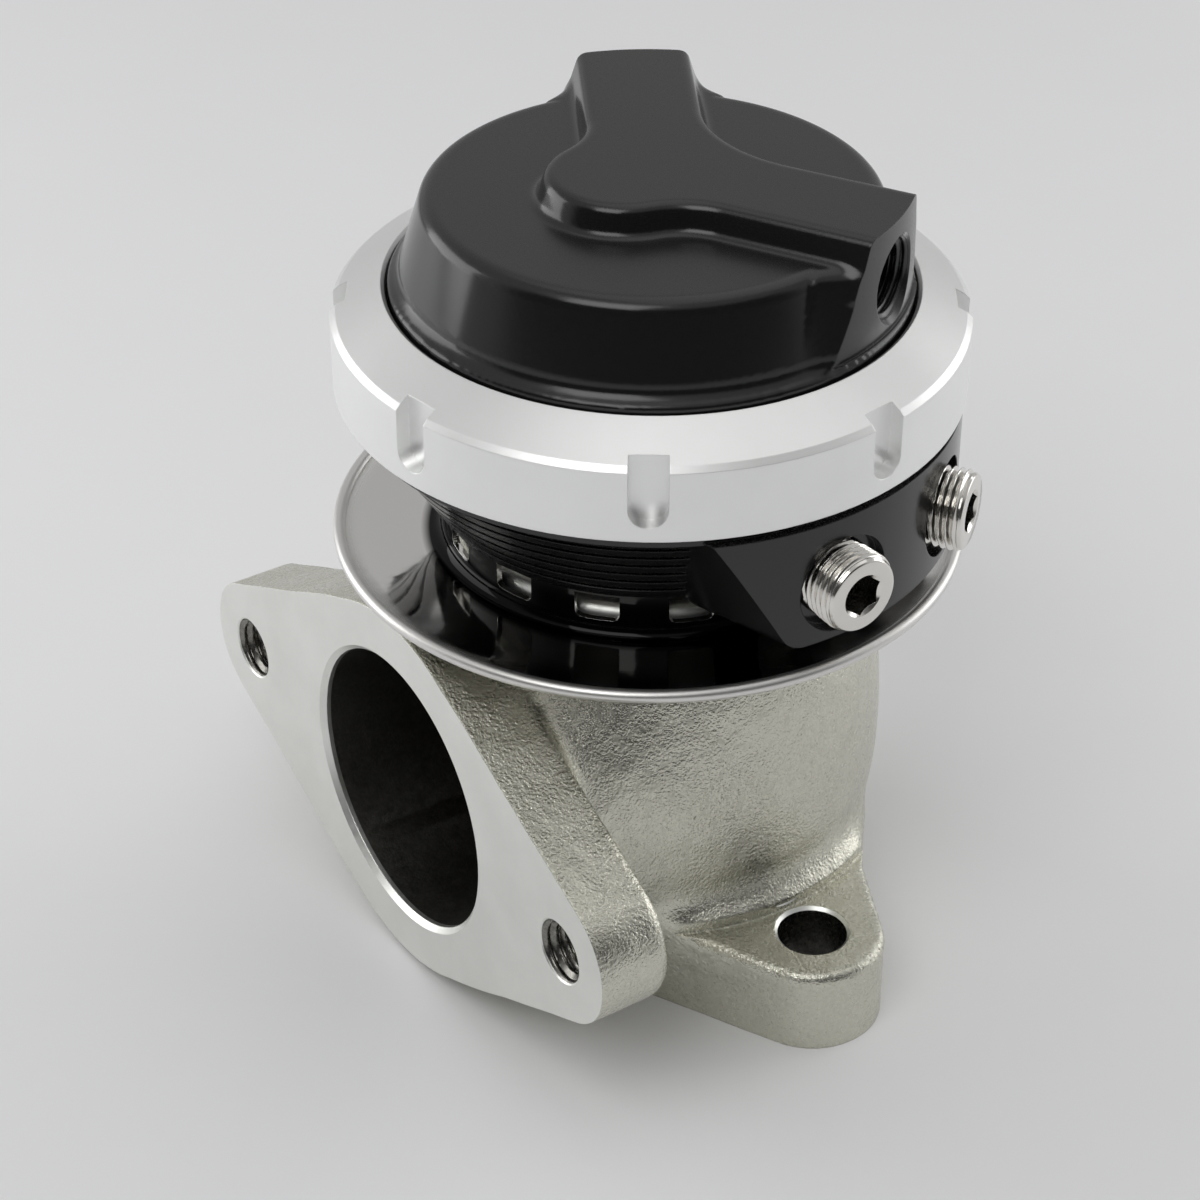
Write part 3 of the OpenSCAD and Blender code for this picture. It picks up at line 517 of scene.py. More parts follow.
def hole(r, length, chamfer, place, steps=64):
    """A cutter for a straight hole with a chamfer at each end: the chamfers are left
    machined, and the wall gets the darker bore steel, a painted shade."""
    wide = r + chamfer + SPARE
    cutter = lathe("hole", [(0, -SPARE), (wide, -SPARE), (r, chamfer), (r, length - chamfer),
                            (wide, length + SPARE), (0, length + SPARE)], steps, place)
    cutter.data.materials.append(machined.material)
    cutter.data.materials.append(bore_painted_shade.material)
    axis = place.to_3x3() @ Vector((0, 0, 1))
    for face in cutter.data.polygons:
        face.material_index = int(abs(face.normal.dot(axis)) < 0.1)
    return cutter


def screw_holes(r, low, high, z):
    """Cutters for the ring of housing screws, from low to high above z."""
    angles = [math.radians(360 / SCREWS * i) for i in range(SCREWS)]
    return [lathe("screw", [(0, low), (r, low), (r, high), (0, high)], 32,
                  aim((*polar(SCREW_CIRCLE_R, a), z), (0, 0, 1))) for a in angles]


# Materials

class Shader:
    """A node tree and what adds to it."""

    def add(self, kind, **settings):
        node = self.tree.nodes.new(kind)
        for key, value in settings.items():
            setattr(node, key, value)
        return node

    def link(self, a, b):
        self.tree.links.new(a, b)

    def join(self, operation, a, b):
        node = self.add("ShaderNodeMath", operation=operation)
        self.link(a, node.inputs[0])
        self.link(b, node.inputs[1])
        return node.outputs[0]

    def span(self, value, low, high, start=0.3, end=0.7, **settings):
        """Maps a value from start..end to low..high."""
        node = self.add("ShaderNodeMapRange", **settings)
        for key, number in {"From Min": start, "From Max": end, "To Min": low,
                            "To Max": high}.items():
            node.inputs[key].default_value = number
        self.link(value, node.inputs["Value"])
        return node.outputs["Result"]


class Finish(Shader):
    """A material with a Principled shader and the nodes that feed it."""

    def __init__(self, name, color, metallic=1.0, roughness=0.3, **sockets):
        self.material = bpy.data.materials.new(name)
        self.material.use_nodes = True
        self.tree = self.material.node_tree
        self.shader = self.tree.nodes["Principled BSDF"]
        self.shader.inputs["Base Color"].default_value = (*color, 1)
        self.shader.inputs["Metallic"].default_value = metallic
        self.shader.inputs["Roughness"].default_value = roughness
        for key, value in sockets.items():
            self.shader.inputs[key.replace("_", " ")].default_value = value
        self.place = self.add("ShaderNodeTexCoord").outputs["Object"]
        self.normal = None

    def noise(self, size, detail, stretch=(1, 1, 1)):
        """Noise whose grains are about size millimetres."""
        mapping = self.add("ShaderNodeMapping")
        mapping.inputs["Scale"].default_value = stretch
        self.link(self.place, mapping.inputs["Vector"])
        node = self.add("ShaderNodeTexNoise")
        node.inputs["Scale"].default_value = 1 / (size * MM)
        node.inputs["Detail"].default_value = detail
        node.inputs["Roughness"].default_value = 0.55
        self.link(mapping.outputs["Vector"], node.inputs["Vector"])
        return node.outputs["Fac"]

    def cells(self, size):
        """Small domes about size millimetres apart."""
        node = self.add("ShaderNodeTexVoronoi", feature="F1")
        node.inputs["Scale"].default_value = 1 / (size * MM)
        self.link(self.place, node.inputs["Vector"])
        return node.outputs["Distance"]

    def across(self):
        """The place on the surface without its height."""
        flat = self.add("ShaderNodeVectorMath", operation="MULTIPLY")
        self.link(self.place, flat.inputs[0])
        flat.inputs[1].default_value = (1, 1, 0)
        return flat.outputs["Vector"]

    def radius(self):
        """Distance from the Z axis in metres."""
        length = self.add("ShaderNodeVectorMath", operation="LENGTH")
        self.link(self.across(), length.inputs[0])
        return length.outputs["Value"]

    def outward(self):
        """How far the surface faces away from or towards the Z axis, 0 to 1."""
        unit = self.add("ShaderNodeVectorMath", operation="NORMALIZE")
        self.link(self.across(), unit.inputs[0])
        facing = self.add("ShaderNodeVectorMath", operation="DOT_PRODUCT")
        self.link(unit.outputs["Vector"], facing.inputs[0])
        self.link(self.add("ShaderNodeTexCoord").outputs["Normal"], facing.inputs[1])
        size = self.add("ShaderNodeMath", operation="ABSOLUTE")
        self.link(facing.outputs["Value"], size.inputs[0])
        return size.outputs[0]

    def upward(self):
        """How far the surface faces up, -1 to 1."""
        parts = self.add("ShaderNodeSeparateXYZ")
        self.link(self.add("ShaderNodeTexCoord").outputs["Normal"], parts.inputs[0])
        return parts.outputs["Z"]

    def rings(self, size):
        """Fine turned rings round the Z axis, size millimetres apart."""
        parts = self.add("ShaderNodeSeparateXYZ")
        self.link(self.place, parts.inputs[0])
        flat = self.add("ShaderNodeCombineXYZ")
        self.link(self.radius(), flat.inputs["X"])
        self.link(parts.outputs["Z"], flat.inputs["Z"])
        node = self.add("ShaderNodeTexNoise")
        node.inputs["Scale"].default_value = 1 / (size * MM)
        node.inputs["Detail"].default_value = 2
        self.link(flat.outputs[0], node.inputs["Vector"])
        return node.outputs["Fac"]

    def tint(self, value, low, high, start=0.3, end=0.7):
        """Colours the surface between two colours by a value."""
        mix = self.add("ShaderNodeMix", data_type="RGBA")
        self.link(self.span(value, 0, 1, start, end), mix.inputs["Factor"])
        mix.inputs["A"].default_value = (*low, 1)
        mix.inputs["B"].default_value = (*high, 1)
        self.link(mix.outputs["Result"], self.shader.inputs["Base Color"])

    def rough(self, value, low, high, start=0.3, end=0.7):
        self.link(self.span(value, low, high, start, end), self.shader.inputs["Roughness"])

    def bump(self, height, depth, strength=1.0):
        """Bumps of about depth millimetres, on top of the ones before."""
        node = self.add("ShaderNodeBump")
        node.inputs["Strength"].default_value = strength
        node.inputs["Distance"].default_value = depth * MM
        self.link(height, node.inputs["Height"])
        if self.normal:
            self.link(self.normal, node.inputs["Normal"])
        self.normal = node.outputs["Normal"]
        self.link(self.normal, self.shader.inputs["Normal"])

    def bevel(self, radius):
        """Softens sharp edges by a radius in millimetres, below every bump."""
        node = self.add("ShaderNodeBevel", samples=4)
        node.inputs["Radius"].default_value = radius * MM
        self.normal = node.outputs["Normal"]
        self.link(self.normal, self.shader.inputs["Normal"])


def cast_finish(name, low, high, rough, grain=1.0):
    """Grained skin of an investment casting, deeper in some patches than in others."""
    skin = Finish(name, high, roughness=rough[0])
    skin.bevel(0.45)
    skin.bump(skin.noise(5, 1), 0.30 * grain)
    skin.bump(skin.noise(2.0, 2), 0.14 * grain, 0.7)
    patches = skin.span(skin.noise(9, 2), 0.55, 1.0, 0.38, 0.58)
    skin.bump(skin.join("MULTIPLY", skin.noise(0.42, 2), patches), 0.20 * grain)
    skin.bump(skin.noise(0.22, 1), 0.05 * grain)
    skin.tint(skin.noise(0.5, 3), low, high)
    skin.rough(skin.noise(1.2, 4), *rough)
    return skin


def shield_finish():
    """Polished steel, satin near the lip, with a painted dark reflection: black on the wall and the
    inner dish.
    """
    steel = Finish("shield_steel", (0.76, 0.75, 0.73), roughness=0.1)
    steel.bevel(0.12)
    steel.bump(steel.noise(5, 2), 0.03, 0.6)
    steel.bump(steel.rings(0.5), 0.003, 0.35)
    # Painted reflection: the wall and the dish inside these radii are coloured black for the black
    # housing that the mirror shows.
    reflection_start, reflection_end = SHIELD_PAINTED_REFLECTION_R
    inner = steel.span(steel.radius(), 1, 0, reflection_start * MM, reflection_end * MM)
    wall_start, wall_end = SHIELD_WALL_PAINTED_REFLECTION_R
    wall = steel.join("MAXIMUM", steel.span(steel.outward(), 0, 1, 0.6, 0.8),
                      steel.span(steel.radius(), 0, 1, wall_start * MM, wall_end * MM))
    steel.tint(steel.join("MULTIPLY", inner, wall), (0.76, 0.75, 0.73), (0.012, 0.012, 0.012),
               0, 1)
    satin_start, satin_end = SHIELD_SATIN_R
    satin = steel.span(steel.radius(), 0.035, 0.36, satin_start * MM, satin_end * MM)
    steel.rough(steel.join("ADD", steel.span(steel.noise(2.5, 4), 0.0, 0.04), satin), 0, 1, 0, 1)
    return steel


def enamel(name, color):
    paint = Finish(name, color, metallic=0.0, roughness=0.3, Coat_Weight=0.4)
    paint.bump(paint.noise(0.8, 3), 0.01, 0.5)
    paint.tint(paint.noise(4, 3), [0.85 * c for c in color], [min(1.1 * c, 1) for c in color])
    return paint


cast = cast_finish("cast_steel", (0.61, 0.602, 0.521), (0.68, 0.672, 0.584), (0.22, 0.30))
# A darker colour for the cast faces inside the chamber and the outlet port.
cast_inner = cast_finish("cast_inside", (0.15, 0.145, 0.13), (0.21, 0.205, 0.185), (0.32, 0.40),
                         0.15)

# Hole walls, threads and sockets: steel coloured much darker than the machined faces, painted shade
# for the shade inside holes.
bore_painted_shade = Finish("bored_steel_painted_shade", (0.22, 0.215, 0.20), roughness=0.25)
bore_painted_shade.bump(bore_painted_shade.noise(0.3, 2), 0.006, 0.5)
bore_painted_shade.tint(bore_painted_shade.noise(0.7, 3), (0.16, 0.155, 0.145), (0.28, 0.275, 0.25))
bore_painted_shade.rough(bore_painted_shade.noise(0.5, 3), 0.2, 0.32)

machined = Finish("machined_steel", (0.62, 0.61, 0.59), roughness=0.3)
machined.bevel(0.15)
machined.bump(machined.noise(0.35, 3), 0.010, 0.5)
machined.bump(machined.noise(0.25, 2, (0.06, 1, 1)), 0.004, 0.5)
machined.rough(machined.noise(0.9, 4), 0.34, 0.42)
machined.tint(machined.noise(9, 3), (0.79, 0.795, 0.76), (0.85, 0.855, 0.82))

polished = shield_finish()

silver = Finish("silver_anodised", (0.80, 0.80, 0.79), roughness=0.3)
silver.bevel(0.2)
silver.bump(silver.noise(0.16, 2), 0.006, 0.5)
silver.bump(silver.rings(0.35), 0.004, 0.5)
silver.rough(silver.noise(0.3, 3), 0.38, 0.44)
silver.tint(silver.noise(12, 3), (0.90, 0.905, 0.895), (0.93, 0.935, 0.925))

black = Finish("black_anodised", (0.010, 0.010, 0.010), metallic=0.0, roughness=0.28, IOR=1.55)
black.bevel(0.25)
black.bump(black.noise(0.14, 2), 0.002, 0.5)
black.rough(black.join("ADD", black.span(black.noise(0.25, 3), 0.0, 0.05),
                       black.span(black.upward(), 0.13, 0.24, 0.5, 0.9)), 0, 1, 0, 1)
black.tint(black.noise(0.3, 3), (0.007, 0.007, 0.007), (0.011, 0.011, 0.011))

black_turned = Finish("black_turned", (0.008, 0.008, 0.008), metallic=0.0, roughness=0.25,
                      IOR=1.6)
black_turned.bevel(0.2)
black_turned.bump(black_turned.rings(0.3), 0.002, 0.5)
black_turned.rough(black_turned.noise(0.25, 3), 0.2, 0.28)
black_turned.tint(black_turned.noise(0.3, 3), (0.006, 0.006, 0.006), (0.010, 0.010, 0.010))

plated = Finish("plated_steel", (0.78, 0.76, 0.72), roughness=0.14)
plated.bevel(0.08)
plated.bump(plated.noise(0.3, 2), 0.004, 0.5)
plated.rough(plated.noise(1.1, 3), 0.1, 0.2)

valve_steel = Finish("valve_steel", (0.42, 0.40, 0.37), roughness=0.3)
valve_steel.bevel(0.1)
valve_steel.bump(valve_steel.rings(0.4), 0.006, 0.5)
valve_steel.tint(valve_steel.noise(6, 4), (0.34, 0.32, 0.29), (0.48, 0.46, 0.43))
valve_steel.rough(valve_steel.noise(2, 3), 0.24, 0.36)

bronze = Finish("guide_bronze", (0.45, 0.28, 0.12), roughness=0.35)
bronze.bump(bronze.rings(0.3), 0.006, 0.5)
bronze.tint(bronze.noise(3, 4), (0.38, 0.23, 0.10), (0.50, 0.32, 0.15))

# Painted shade: the spacer is coloured near black so that the inside of the shield's windows looks
# dark.
spacer_shade = Finish("spacer_ceramic", (0.03, 0.03, 0.03), metallic=0.0, roughness=0.7)
spacer_shade.bump(spacer_shade.noise(0.6, 4), 0.02, 0.6)
spacer_shade.tint(spacer_shade.noise(1.5, 5), (0.022, 0.021, 0.020), (0.04, 0.038, 0.036))

screw_black = Finish("black_oxide", (0.03, 0.03, 0.032), metallic=0.8, roughness=0.35)
screw_black.bevel(0.12)
screw_black.bump(screw_black.noise(0.3, 3), 0.006, 0.5)
screw_black.rough(screw_black.noise(1.0, 3), 0.28, 0.45)

rubber = Finish("seal_rubber", (0.02, 0.02, 0.02), metallic=0.0, roughness=0.6)
rubber.bump(rubber.noise(0.5, 4), 0.01, 0.5)
rubber.rough(rubber.noise(1.2, 3), 0.5, 0.7)

cloth_rubber = Finish("diaphragm_rubber", (0.06, 0.028, 0.018), metallic=0.0, roughness=0.6)
cloth_rubber.bump(cloth_rubber.cells(0.7), 0.05, 0.6)
cloth_rubber.tint(cloth_rubber.noise(2, 4), (0.045, 0.02, 0.014), (0.075, 0.035, 0.022))

alloy = Finish("piston_alloy", (0.70, 0.70, 0.70), roughness=0.3)
alloy.bevel(0.15)
alloy.bump(alloy.rings(0.4), 0.006, 0.5)
alloy.rough(alloy.noise(1.5, 3), 0.25, 0.36)

spring_red = enamel("spring_red", (0.45, 0.02, 0.015))
spring_blue = enamel("spring_blue", (0.02, 0.07, 0.40))
spring_yellow = enamel("spring_yellow", (0.60, 0.40, 0.02))

NODE_FINISHES = {
    "seat_ring": machined, "valve_guide": bronze, "poppet_valve": valve_steel,
    "thermal_spacer": spacer_shade, "lower_housing": black, "housing_screws": screw_black,
    "shaft_bush": bronze, "shaft_seal": rubber, "seal_clip": machined,
    "diaphragm_plate": alloy, "piston": alloy, "stem_washer": plated, "stem_nut": plated,
    "locking_collar": silver}


def dress_nodes():
    """Gives the CAD nodes that stay visible their materials."""
    for name, finish in NODE_FINISHES.items():
        obj = nodes[name]
        if not obj.material_slots:
            obj.data.materials.append(None)
        for slot in obj.material_slots:
            slot.link = "OBJECT"
            slot.material = finish.material


# Camera, light and floor

def look_from(name, position, ahead, up, data):
    """Places an object at position, in millimetres, looking ahead."""
    obj = bpy.data.objects.new(name, data)
    ahead, up = Vector(ahead).normalized(), Vector(up).normalized()
    right = ahead.cross(up).normalized()
    up = right.cross(ahead)
    x, y, z = Vector(position) * MM
    obj.matrix_world = Matrix(((right.x, up.x, -ahead.x, x), (right.y, up.y, -ahead.y, y),
                               (right.z, up.z, -ahead.z, z), (0, 0, 0, 1)))
    scene.collection.objects.link(obj)
    return obj


def place_camera():
    lens = bpy.data.cameras.new("camera")
    lens.sensor_width = SENSOR
    lens.lens = FOCAL_PIXELS / PHOTO_PIXELS * SENSOR
    lens.clip_start = 0.01
    lens.clip_end = 20
    scene.camera = look_from("camera", CAMERA_AT, CAMERA_AHEAD, CAMERA_UP, lens)


def softbox(name, position, size, power):
    """A rectangular lamp, sized in millimetres, that faces the object's middle."""
    light = bpy.data.lights.new(name, "AREA")
    light.shape = "RECTANGLE"
    light.size, light.size_y = size[0] * MM, size[1] * MM
    light.energy = power
    ahead = Vector(LIGHT_TARGET) - Vector(position)
    up = (0, 0, 1) if abs(ahead.normalized().z) < 0.95 else (0, 1, 0)
    look_from(name, position, ahead, up, light)


class Sky(Shader):
    """The world's shader as a brightness by direction."""

    def __init__(self, name):
        self.world = bpy.data.worlds.new(name)
        self.world.use_nodes = True
        self.tree = self.world.node_tree
        self.way = self.add("ShaderNodeTexCoord").outputs["Generated"]

    def along(self, direction):
        node = self.add("ShaderNodeVectorMath", operation="DOT_PRODUCT")
        self.link(self.way, node.inputs[0])
        node.inputs[1].default_value = direction
        return node.outputs["Value"]

    def ramp(self, value, start, end, low, high):
        return self.span(value, low, high, start, end, interpolation_type="SMOOTHSTEP")


def make_sky():
    """A light tent: pale all round, but dark low down on the camera's side, which the
    black wall of the cap mirrors."""
    sky = Sky("studio")
    scene.world = sky.world
    height = sky.along((0, 0, 1))
    pale = sky.ramp(height, 0.0, 0.9, 0.50, 0.46)
    side = sky.ramp(sky.along(DARK_SIDE), 0.1, 0.5, 0.0, 1.0)
    low_down = sky.ramp(height, 0.5, 0.8, 0.8, 0.0)
    lit = sky.ramp(sky.join("MULTIPLY", side, low_down), 0.0, 1.0, 1.0, 0.0)
    background = sky.tree.nodes["Background"]
    sky.link(sky.join("MULTIPLY", pale, lit), background.inputs["Strength"])
    background.inputs["Color"].default_value = (1.0, 1.0, 1.0, 1)


def make_floor():
    paint = Finish("floor", (0.88, 0.88, 0.89), metallic=0.0, roughness=0.8)
    paint.tint(paint.noise(40, 3), (0.875, 0.875, 0.885), (0.885, 0.885, 0.895))
    floor = lathe("floor", [(0, -FLOOR_T), (FLOOR_R, -FLOOR_T), (FLOOR_R, 0), (0, 0)], 96)
    floor.data.materials.append(paint.material)


# Cast valve body

def lozenge(along, across):
    """Distance to the two-bolt flange's outline."""
    along, across = np.abs(along), np.abs(across)
    lean = (FLANGE_MID_R - FLANGE_END_R) / BOLT_HALF
    rise = math.sqrt(1 - lean * lean)
    k = -lean * across + rise * along
    near = np.hypot(across, along) - FLANGE_MID_R
    far = np.hypot(across, along - BOLT_HALF) - FLANGE_END_R
    side = rise * across + lean * along - FLANGE_MID_R
    return np.where(k < 0, near, np.where(k > rise * BOLT_HALF, far, side))


def chamber_field(r, z):
    """Distance to the hollow inside the body, round the guide's boss."""
    mid = sum(CHAMBER_Z) / 2
    half = (CHAMBER_Z[1] - CHAMBER_Z[0]) / 2 - CHAMBER_ROUND
    u = r - CHAMBER_R + CHAMBER_ROUND
    v = np.abs(z - mid) - half
    chamber = np.hypot(np.maximum(u, 0), np.maximum(v, 0)) + np.minimum(np.maximum(u, v), 0)
    chamber = chamber - CHAMBER_ROUND
    post = round_common(r - GUIDE_BOSS_R, CHAMBER_Z[1] - GUIDE_BOSS_H - z, GUIDE_BOSS_ROUND)
    return -round_union(-chamber, post, GUIDE_BOSS_FILLET)


def casting_field(x, y, z):
    """Distance to the casting before its faces and holes are machined."""
    r = np.hypot(x, y)
    bulge = np.hypot(r - BARREL_R + BULGE_R, z - OUTLET_Z) - BULGE_R
    barrel = round_common(bulge, z - SHOULDER_Z, SHOULDER_ROUND)
    neck = np.maximum(np.hypot(x, z - OUTLET_Z) - FLANGE_MID_R + NECK_INSET, y - NECK_START_Y)
    neck = np.maximum(neck, -y - OUTLET_REACH - SPARE)
    outside = round_union(barrel, neck, NECK_FILLET)
    ear = np.clip((np.abs(x) - EAR_START) / EAR_BLEND, 0, 1)
    plate = round_common(lozenge(x, z - OUTLET_Z), y + OUTLET_REACH - OUTLET_T, PLATE_ROUND)
    plate = np.maximum(plate, -y - OUTLET_REACH - SPARE)
    outside = round_union(outside, plate, LEAST_FILLET + PLATE_FILLET * ear)
    stock = EAR_STOCK * np.clip(EAR_MILL_R + EAR_STOCK_EDGE - r, 0, 1)
    foot = round_common(lozenge(x, y), z - INLET_T - stock, EAR_ROUND)
    foot = np.maximum(foot, -z - SPARE)
    outside = round_union(outside, foot, LEAST_FILLET + FOOT_FILLET * ear)
    ripple = RIPPLE
    for along, (wave, shift) in zip((x, y, z), RIPPLE_WAVES):
        ripple = ripple * np.sin(wave * along + shift)
    outside = outside + ripple
    outside = np.maximum(outside, z - NECK_TOP_Z)
    outside = np.minimum(outside, np.maximum(r - BOSS_R, z - BOSS_Z - SPARE))
    return np.maximum(outside, -chamber_field(r, z))


def ear_mill(side):
    """A cutter that leaves the ear's top flat outside the bead round the barrel."""
    edge = arc((0, 0), EAR_MILL_R, -EAR_MILL_ANGLE, EAR_MILL_ANGLE, 32)
    outline = [(side * x, y) for x, y in edge]
    outline += [(side * BLOCK, EAR_MILL_SIDE), (side * BLOCK, -EAR_MILL_SIDE)]
    return prism("mill", outline, INLET_T + EAR_MILL_H[0], INLET_T + EAR_MILL_H[1])


def flange_place(side):
    """The outlet flange's hole on one side, from its face inwards."""
    return aim((side * BOLT_HALF, -OUTLET_REACH, OUTLET_Z), (0, 1, 0))


def build_body():
    field = casting_field(*grid(BODY_LOW, BODY_HIGH, BODY_STEP))
    body = add_object("body_casting",
                      mesh_of("body_casting", *surface_net(field, BODY_LOW, BODY_STEP)))
    body.data.materials.append(cast.material)
    outlet = aim((0, -OUTLET_REACH, OUTLET_Z), (0, 1, 0))
    port_r = PORT_R - PORT_SKIN
    mouth_r = PORT_R + PORT_CHAMFER + SPARE
    mouth_end = PORT_CHAMFER + MOUTH_LAND
    lowest, under, highest = BLOCK_Z
    carve(body, [lathe("port", [(0, -SPARE), (port_r, -SPARE), (port_r, PORT_DEPTH),
                                (0, PORT_DEPTH)], 192, outlet)], cast_inner.material)
    carve(body, [ear_mill(side) for side in (-1, 1)], cast.material)
    cutters = [
        block("under", (-BLOCK, -BLOCK, under), (BLOCK, BLOCK, 0)),
        block("beyond", (-BLOCK, -BLOCK, lowest), (BLOCK, -OUTLET_REACH, highest)),
        block("above", (-BLOCK, -BLOCK, BOSS_Z), (BLOCK, BLOCK, highest)),
        lathe("seat", [(0, -SPARE), (SEAT_R, -SPARE), (SEAT_R, SEAT_H), (THROAT_R, SEAT_H),
                       (THROAT_R, THROAT_TOP_Z), (0, THROAT_TOP_Z)], 192),
        lathe("guide", [(0, GUIDE_CUT_Z[0]), (GUIDE_R, GUIDE_CUT_Z[0]),
                        (GUIDE_R, GUIDE_CUT_Z[1]), (0, GUIDE_CUT_Z[1])], 96),
        lathe("mouth", [(0, -SPARE), (mouth_r, -SPARE), (PORT_R, PORT_CHAMFER),
                        (port_r, mouth_end), (0, mouth_end)], 192, outlet),
        lathe("boss_edge", [(BOSS_R + out, BOSS_Z + up) for out, up in BOSS_EDGE], 192),
    ]
    for side in (-1, 1):
        cutters.append(hole(INLET_HOLE_R, INLET_T, HOLE_CHAMFER,
                            aim((side * BOLT_HALF, 0, 0), (0, 0, 1))))
        cutters.append(hole(TAP_SLEEVE_R, OUTLET_T, TAP_CHAMFER + TAP_R - TAP_SLEEVE_R,
                            flange_place(side)))
    cutters += screw_holes(SCREW_R, 0, SCREW_CUT, BOSS_Z - SCREW_REACH)
    carve(body, cutters, machined.material)
    darken_chamber(body)
    smooth(body, 35)
    pieces = [body]
    for side, label in ((-1, "left"), (1, "right")):
        profile = [(TAP_START, TAP_SLEEVE_R, 0.0), (TAP_CHAMFER, TAP_R, THREAD_ROOM),
                   (OUTLET_T - TAP_CHAMFER, TAP_R, THREAD_ROOM),
                   (OUTLET_T - TAP_START, TAP_SLEEVE_R, 0.0)]
        sleeve = thread_tube("flange_thread_" + label, profile, TAP_PITCH, TAP_MAJOR_R - TAP_R,
                             flange_place(side), outer=TAP_SLEEVE_R + TAP_SLEEVE_T)
        sleeve.data.materials.append(bore_painted_shade.material)
        smooth(sleeve, 40)
        pieces.append(sleeve)
    for piece in pieces:
        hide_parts("valve_body")
        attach(piece, "body")


def darken_chamber(body):
    """Gives the cast faces of the chamber the darker cast colour."""
    slots = [slot.material for slot in body.material_slots]
    inner_slot, cast_slot = slots.index(cast_inner.material), slots.index(cast.material)
    near, beyond = CHAMBER_FIND
    for face in body.data.polygons:
        x, y, z = face.center / MM
        if (face.material_index == cast_slot and math.hypot(x, y) < CHAMBER_R + near
                and CHAMBER_Z[0] - beyond < z < CHAMBER_Z[1] + beyond):
            face.material_index = inner_slot


# Heat shield

def shield_profile():
    """The sheet's section, from the bore over the top to the lip and back below."""
    lip_x = SHIELD_R - SHIELD_LIP_R
    lip_z = DISH_Z + DISH_RISE - SHIELD_LIP_R
    foot_x = SHIELD_WALL_R + DISH_ROUND
    end_x, end_z = lip_x - DISH_END[0], lip_z - DISH_END[1]
    dish = [(foot_x + (end_x - foot_x) * i / DISH_STEPS,
             DISH_Z + (end_z - DISH_Z) * (i / DISH_STEPS) ** DISH_POWER)
            for i in range(1, DISH_STEPS + 1)]
    top = [(SHIELD_BORE_R, SHIELD_Z + SHIELD_T)]
    top += arc((SHIELD_WALL_R - SHIELD_CORNER, SHIELD_Z + SHIELD_T - SHIELD_CORNER),
               SHIELD_CORNER, 90, 0, 4)
    top += arc((foot_x, DISH_Z + DISH_ROUND), DISH_ROUND, 180, 270, 12)
    under = [(x, z - SHIELD_T) for x, z in reversed(dish[:-2])]
    inside = SHIELD_WALL_R - SHIELD_T
    out, up, wall_up = DISH_UNDER
    under += [(inside + out, DISH_Z - SHIELD_T + up), (inside, DISH_Z - SHIELD_T + wall_up),
              (inside, SHIELD_Z), (SHIELD_BORE_R, SHIELD_Z)]
    return top + dish + arc((lip_x, lip_z), SHIELD_LIP_R, *LIP_ANGLES, 20) + under


def window_cutter(angle):
    """A cutter for one window: an upright rectangle with its lower corners rounded."""
    half = WINDOW_W / 2
    outline = [(-half, WINDOW_H)]
    outline += arc((WINDOW_ROUND - half, WINDOW_ROUND), WINDOW_ROUND, 180, 270, 6)
    outline += arc((half - WINDOW_ROUND, WINDOW_ROUND), WINDOW_ROUND, 270, 360, 6)
    outline += [(half, WINDOW_H)]
    window = prism("window", outline, SHIELD_WALL_R + WINDOW_CUT[0],
                   SHIELD_WALL_R + WINDOW_CUT[1])
    a = math.radians(angle)
    foot = (SHIELD_Z + SHIELD_T - WINDOW_TOP - WINDOW_H) * MM
    window.data.transform(Matrix(((-math.sin(a), 0, math.cos(a), 0),
                                  (math.cos(a), 0, math.sin(a), 0),
                                  (0, 1, 0, foot), (0, 0, 0, 1))))
    return window


def build_shield():
    shield = lathe("shield", shield_profile(), 256)
    shield.data.materials.append(polished.material)
    cutters = [window_cutter(WINDOW_START + 360 * i / WINDOWS) for i in range(WINDOWS)]
    cutters += screw_holes(SCREW_R + SCREW_PLAY, *SHIELD_CUT, SHIELD_Z)
    carve(shield, cutters, polished.material)
    smooth(shield, 30)
    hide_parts("heat_shield")
    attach(shield, "body")


# Port plugs

def build_plugs():
    profile = [(-PLUG_IN, PLUG_R - PLUG_IN * NPT_TAPER, PLUG_THREAD),
               (PLUG_OUT - PLUG_THREAD_OUT, PLUG_R + PLUG_OUT * NPT_TAPER, PLUG_THREAD)]
    profile += [(PLUG_OUT - back, PLUG_R - inwards, room) for back, inwards, room in PLUG_END]
    corner = PLUG_SOCKET / 2 / math.cos(math.pi / 6)
    (mouth_in, mouth_out), (narrow, wide) = SOCKET_MOUTH
    for number, (angle, turn) in enumerate(zip(PLUG_ANGLES, PLUG_TURNS), 1):
        a = math.radians(angle)
        place = aim((*polar(PLUG_REACH, a), PLUG_Z), (*polar(1, a), 0), turn)
        plug = thread_tube("port_plug_%d" % number, profile, NPT_PITCH, PLUG_THREAD, place)
        plug.data.materials.append(plated.material)
        socket = lathe("socket", [(0, PLUG_OUT - SOCKET_TIP), (corner, PLUG_OUT - SOCKET_DEPTH),
                                  (corner, PLUG_OUT + SPARE), (0, PLUG_OUT + SPARE)], 6, place)
        mouth = lathe("mouth", [(0, PLUG_OUT - mouth_in),
                                (PLUG_SOCKET / 2 - narrow, PLUG_OUT - mouth_out),
                                (corner + wide, PLUG_OUT + mouth_out),
                                (0, PLUG_OUT + mouth_out)], 48, place)
        carve(plug, [socket], bore_painted_shade.material)
        carve(plug, [mouth], plated.material)
        smooth(plug, 40)
        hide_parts("port_plugs")
        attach(plug, "body")


# Cap

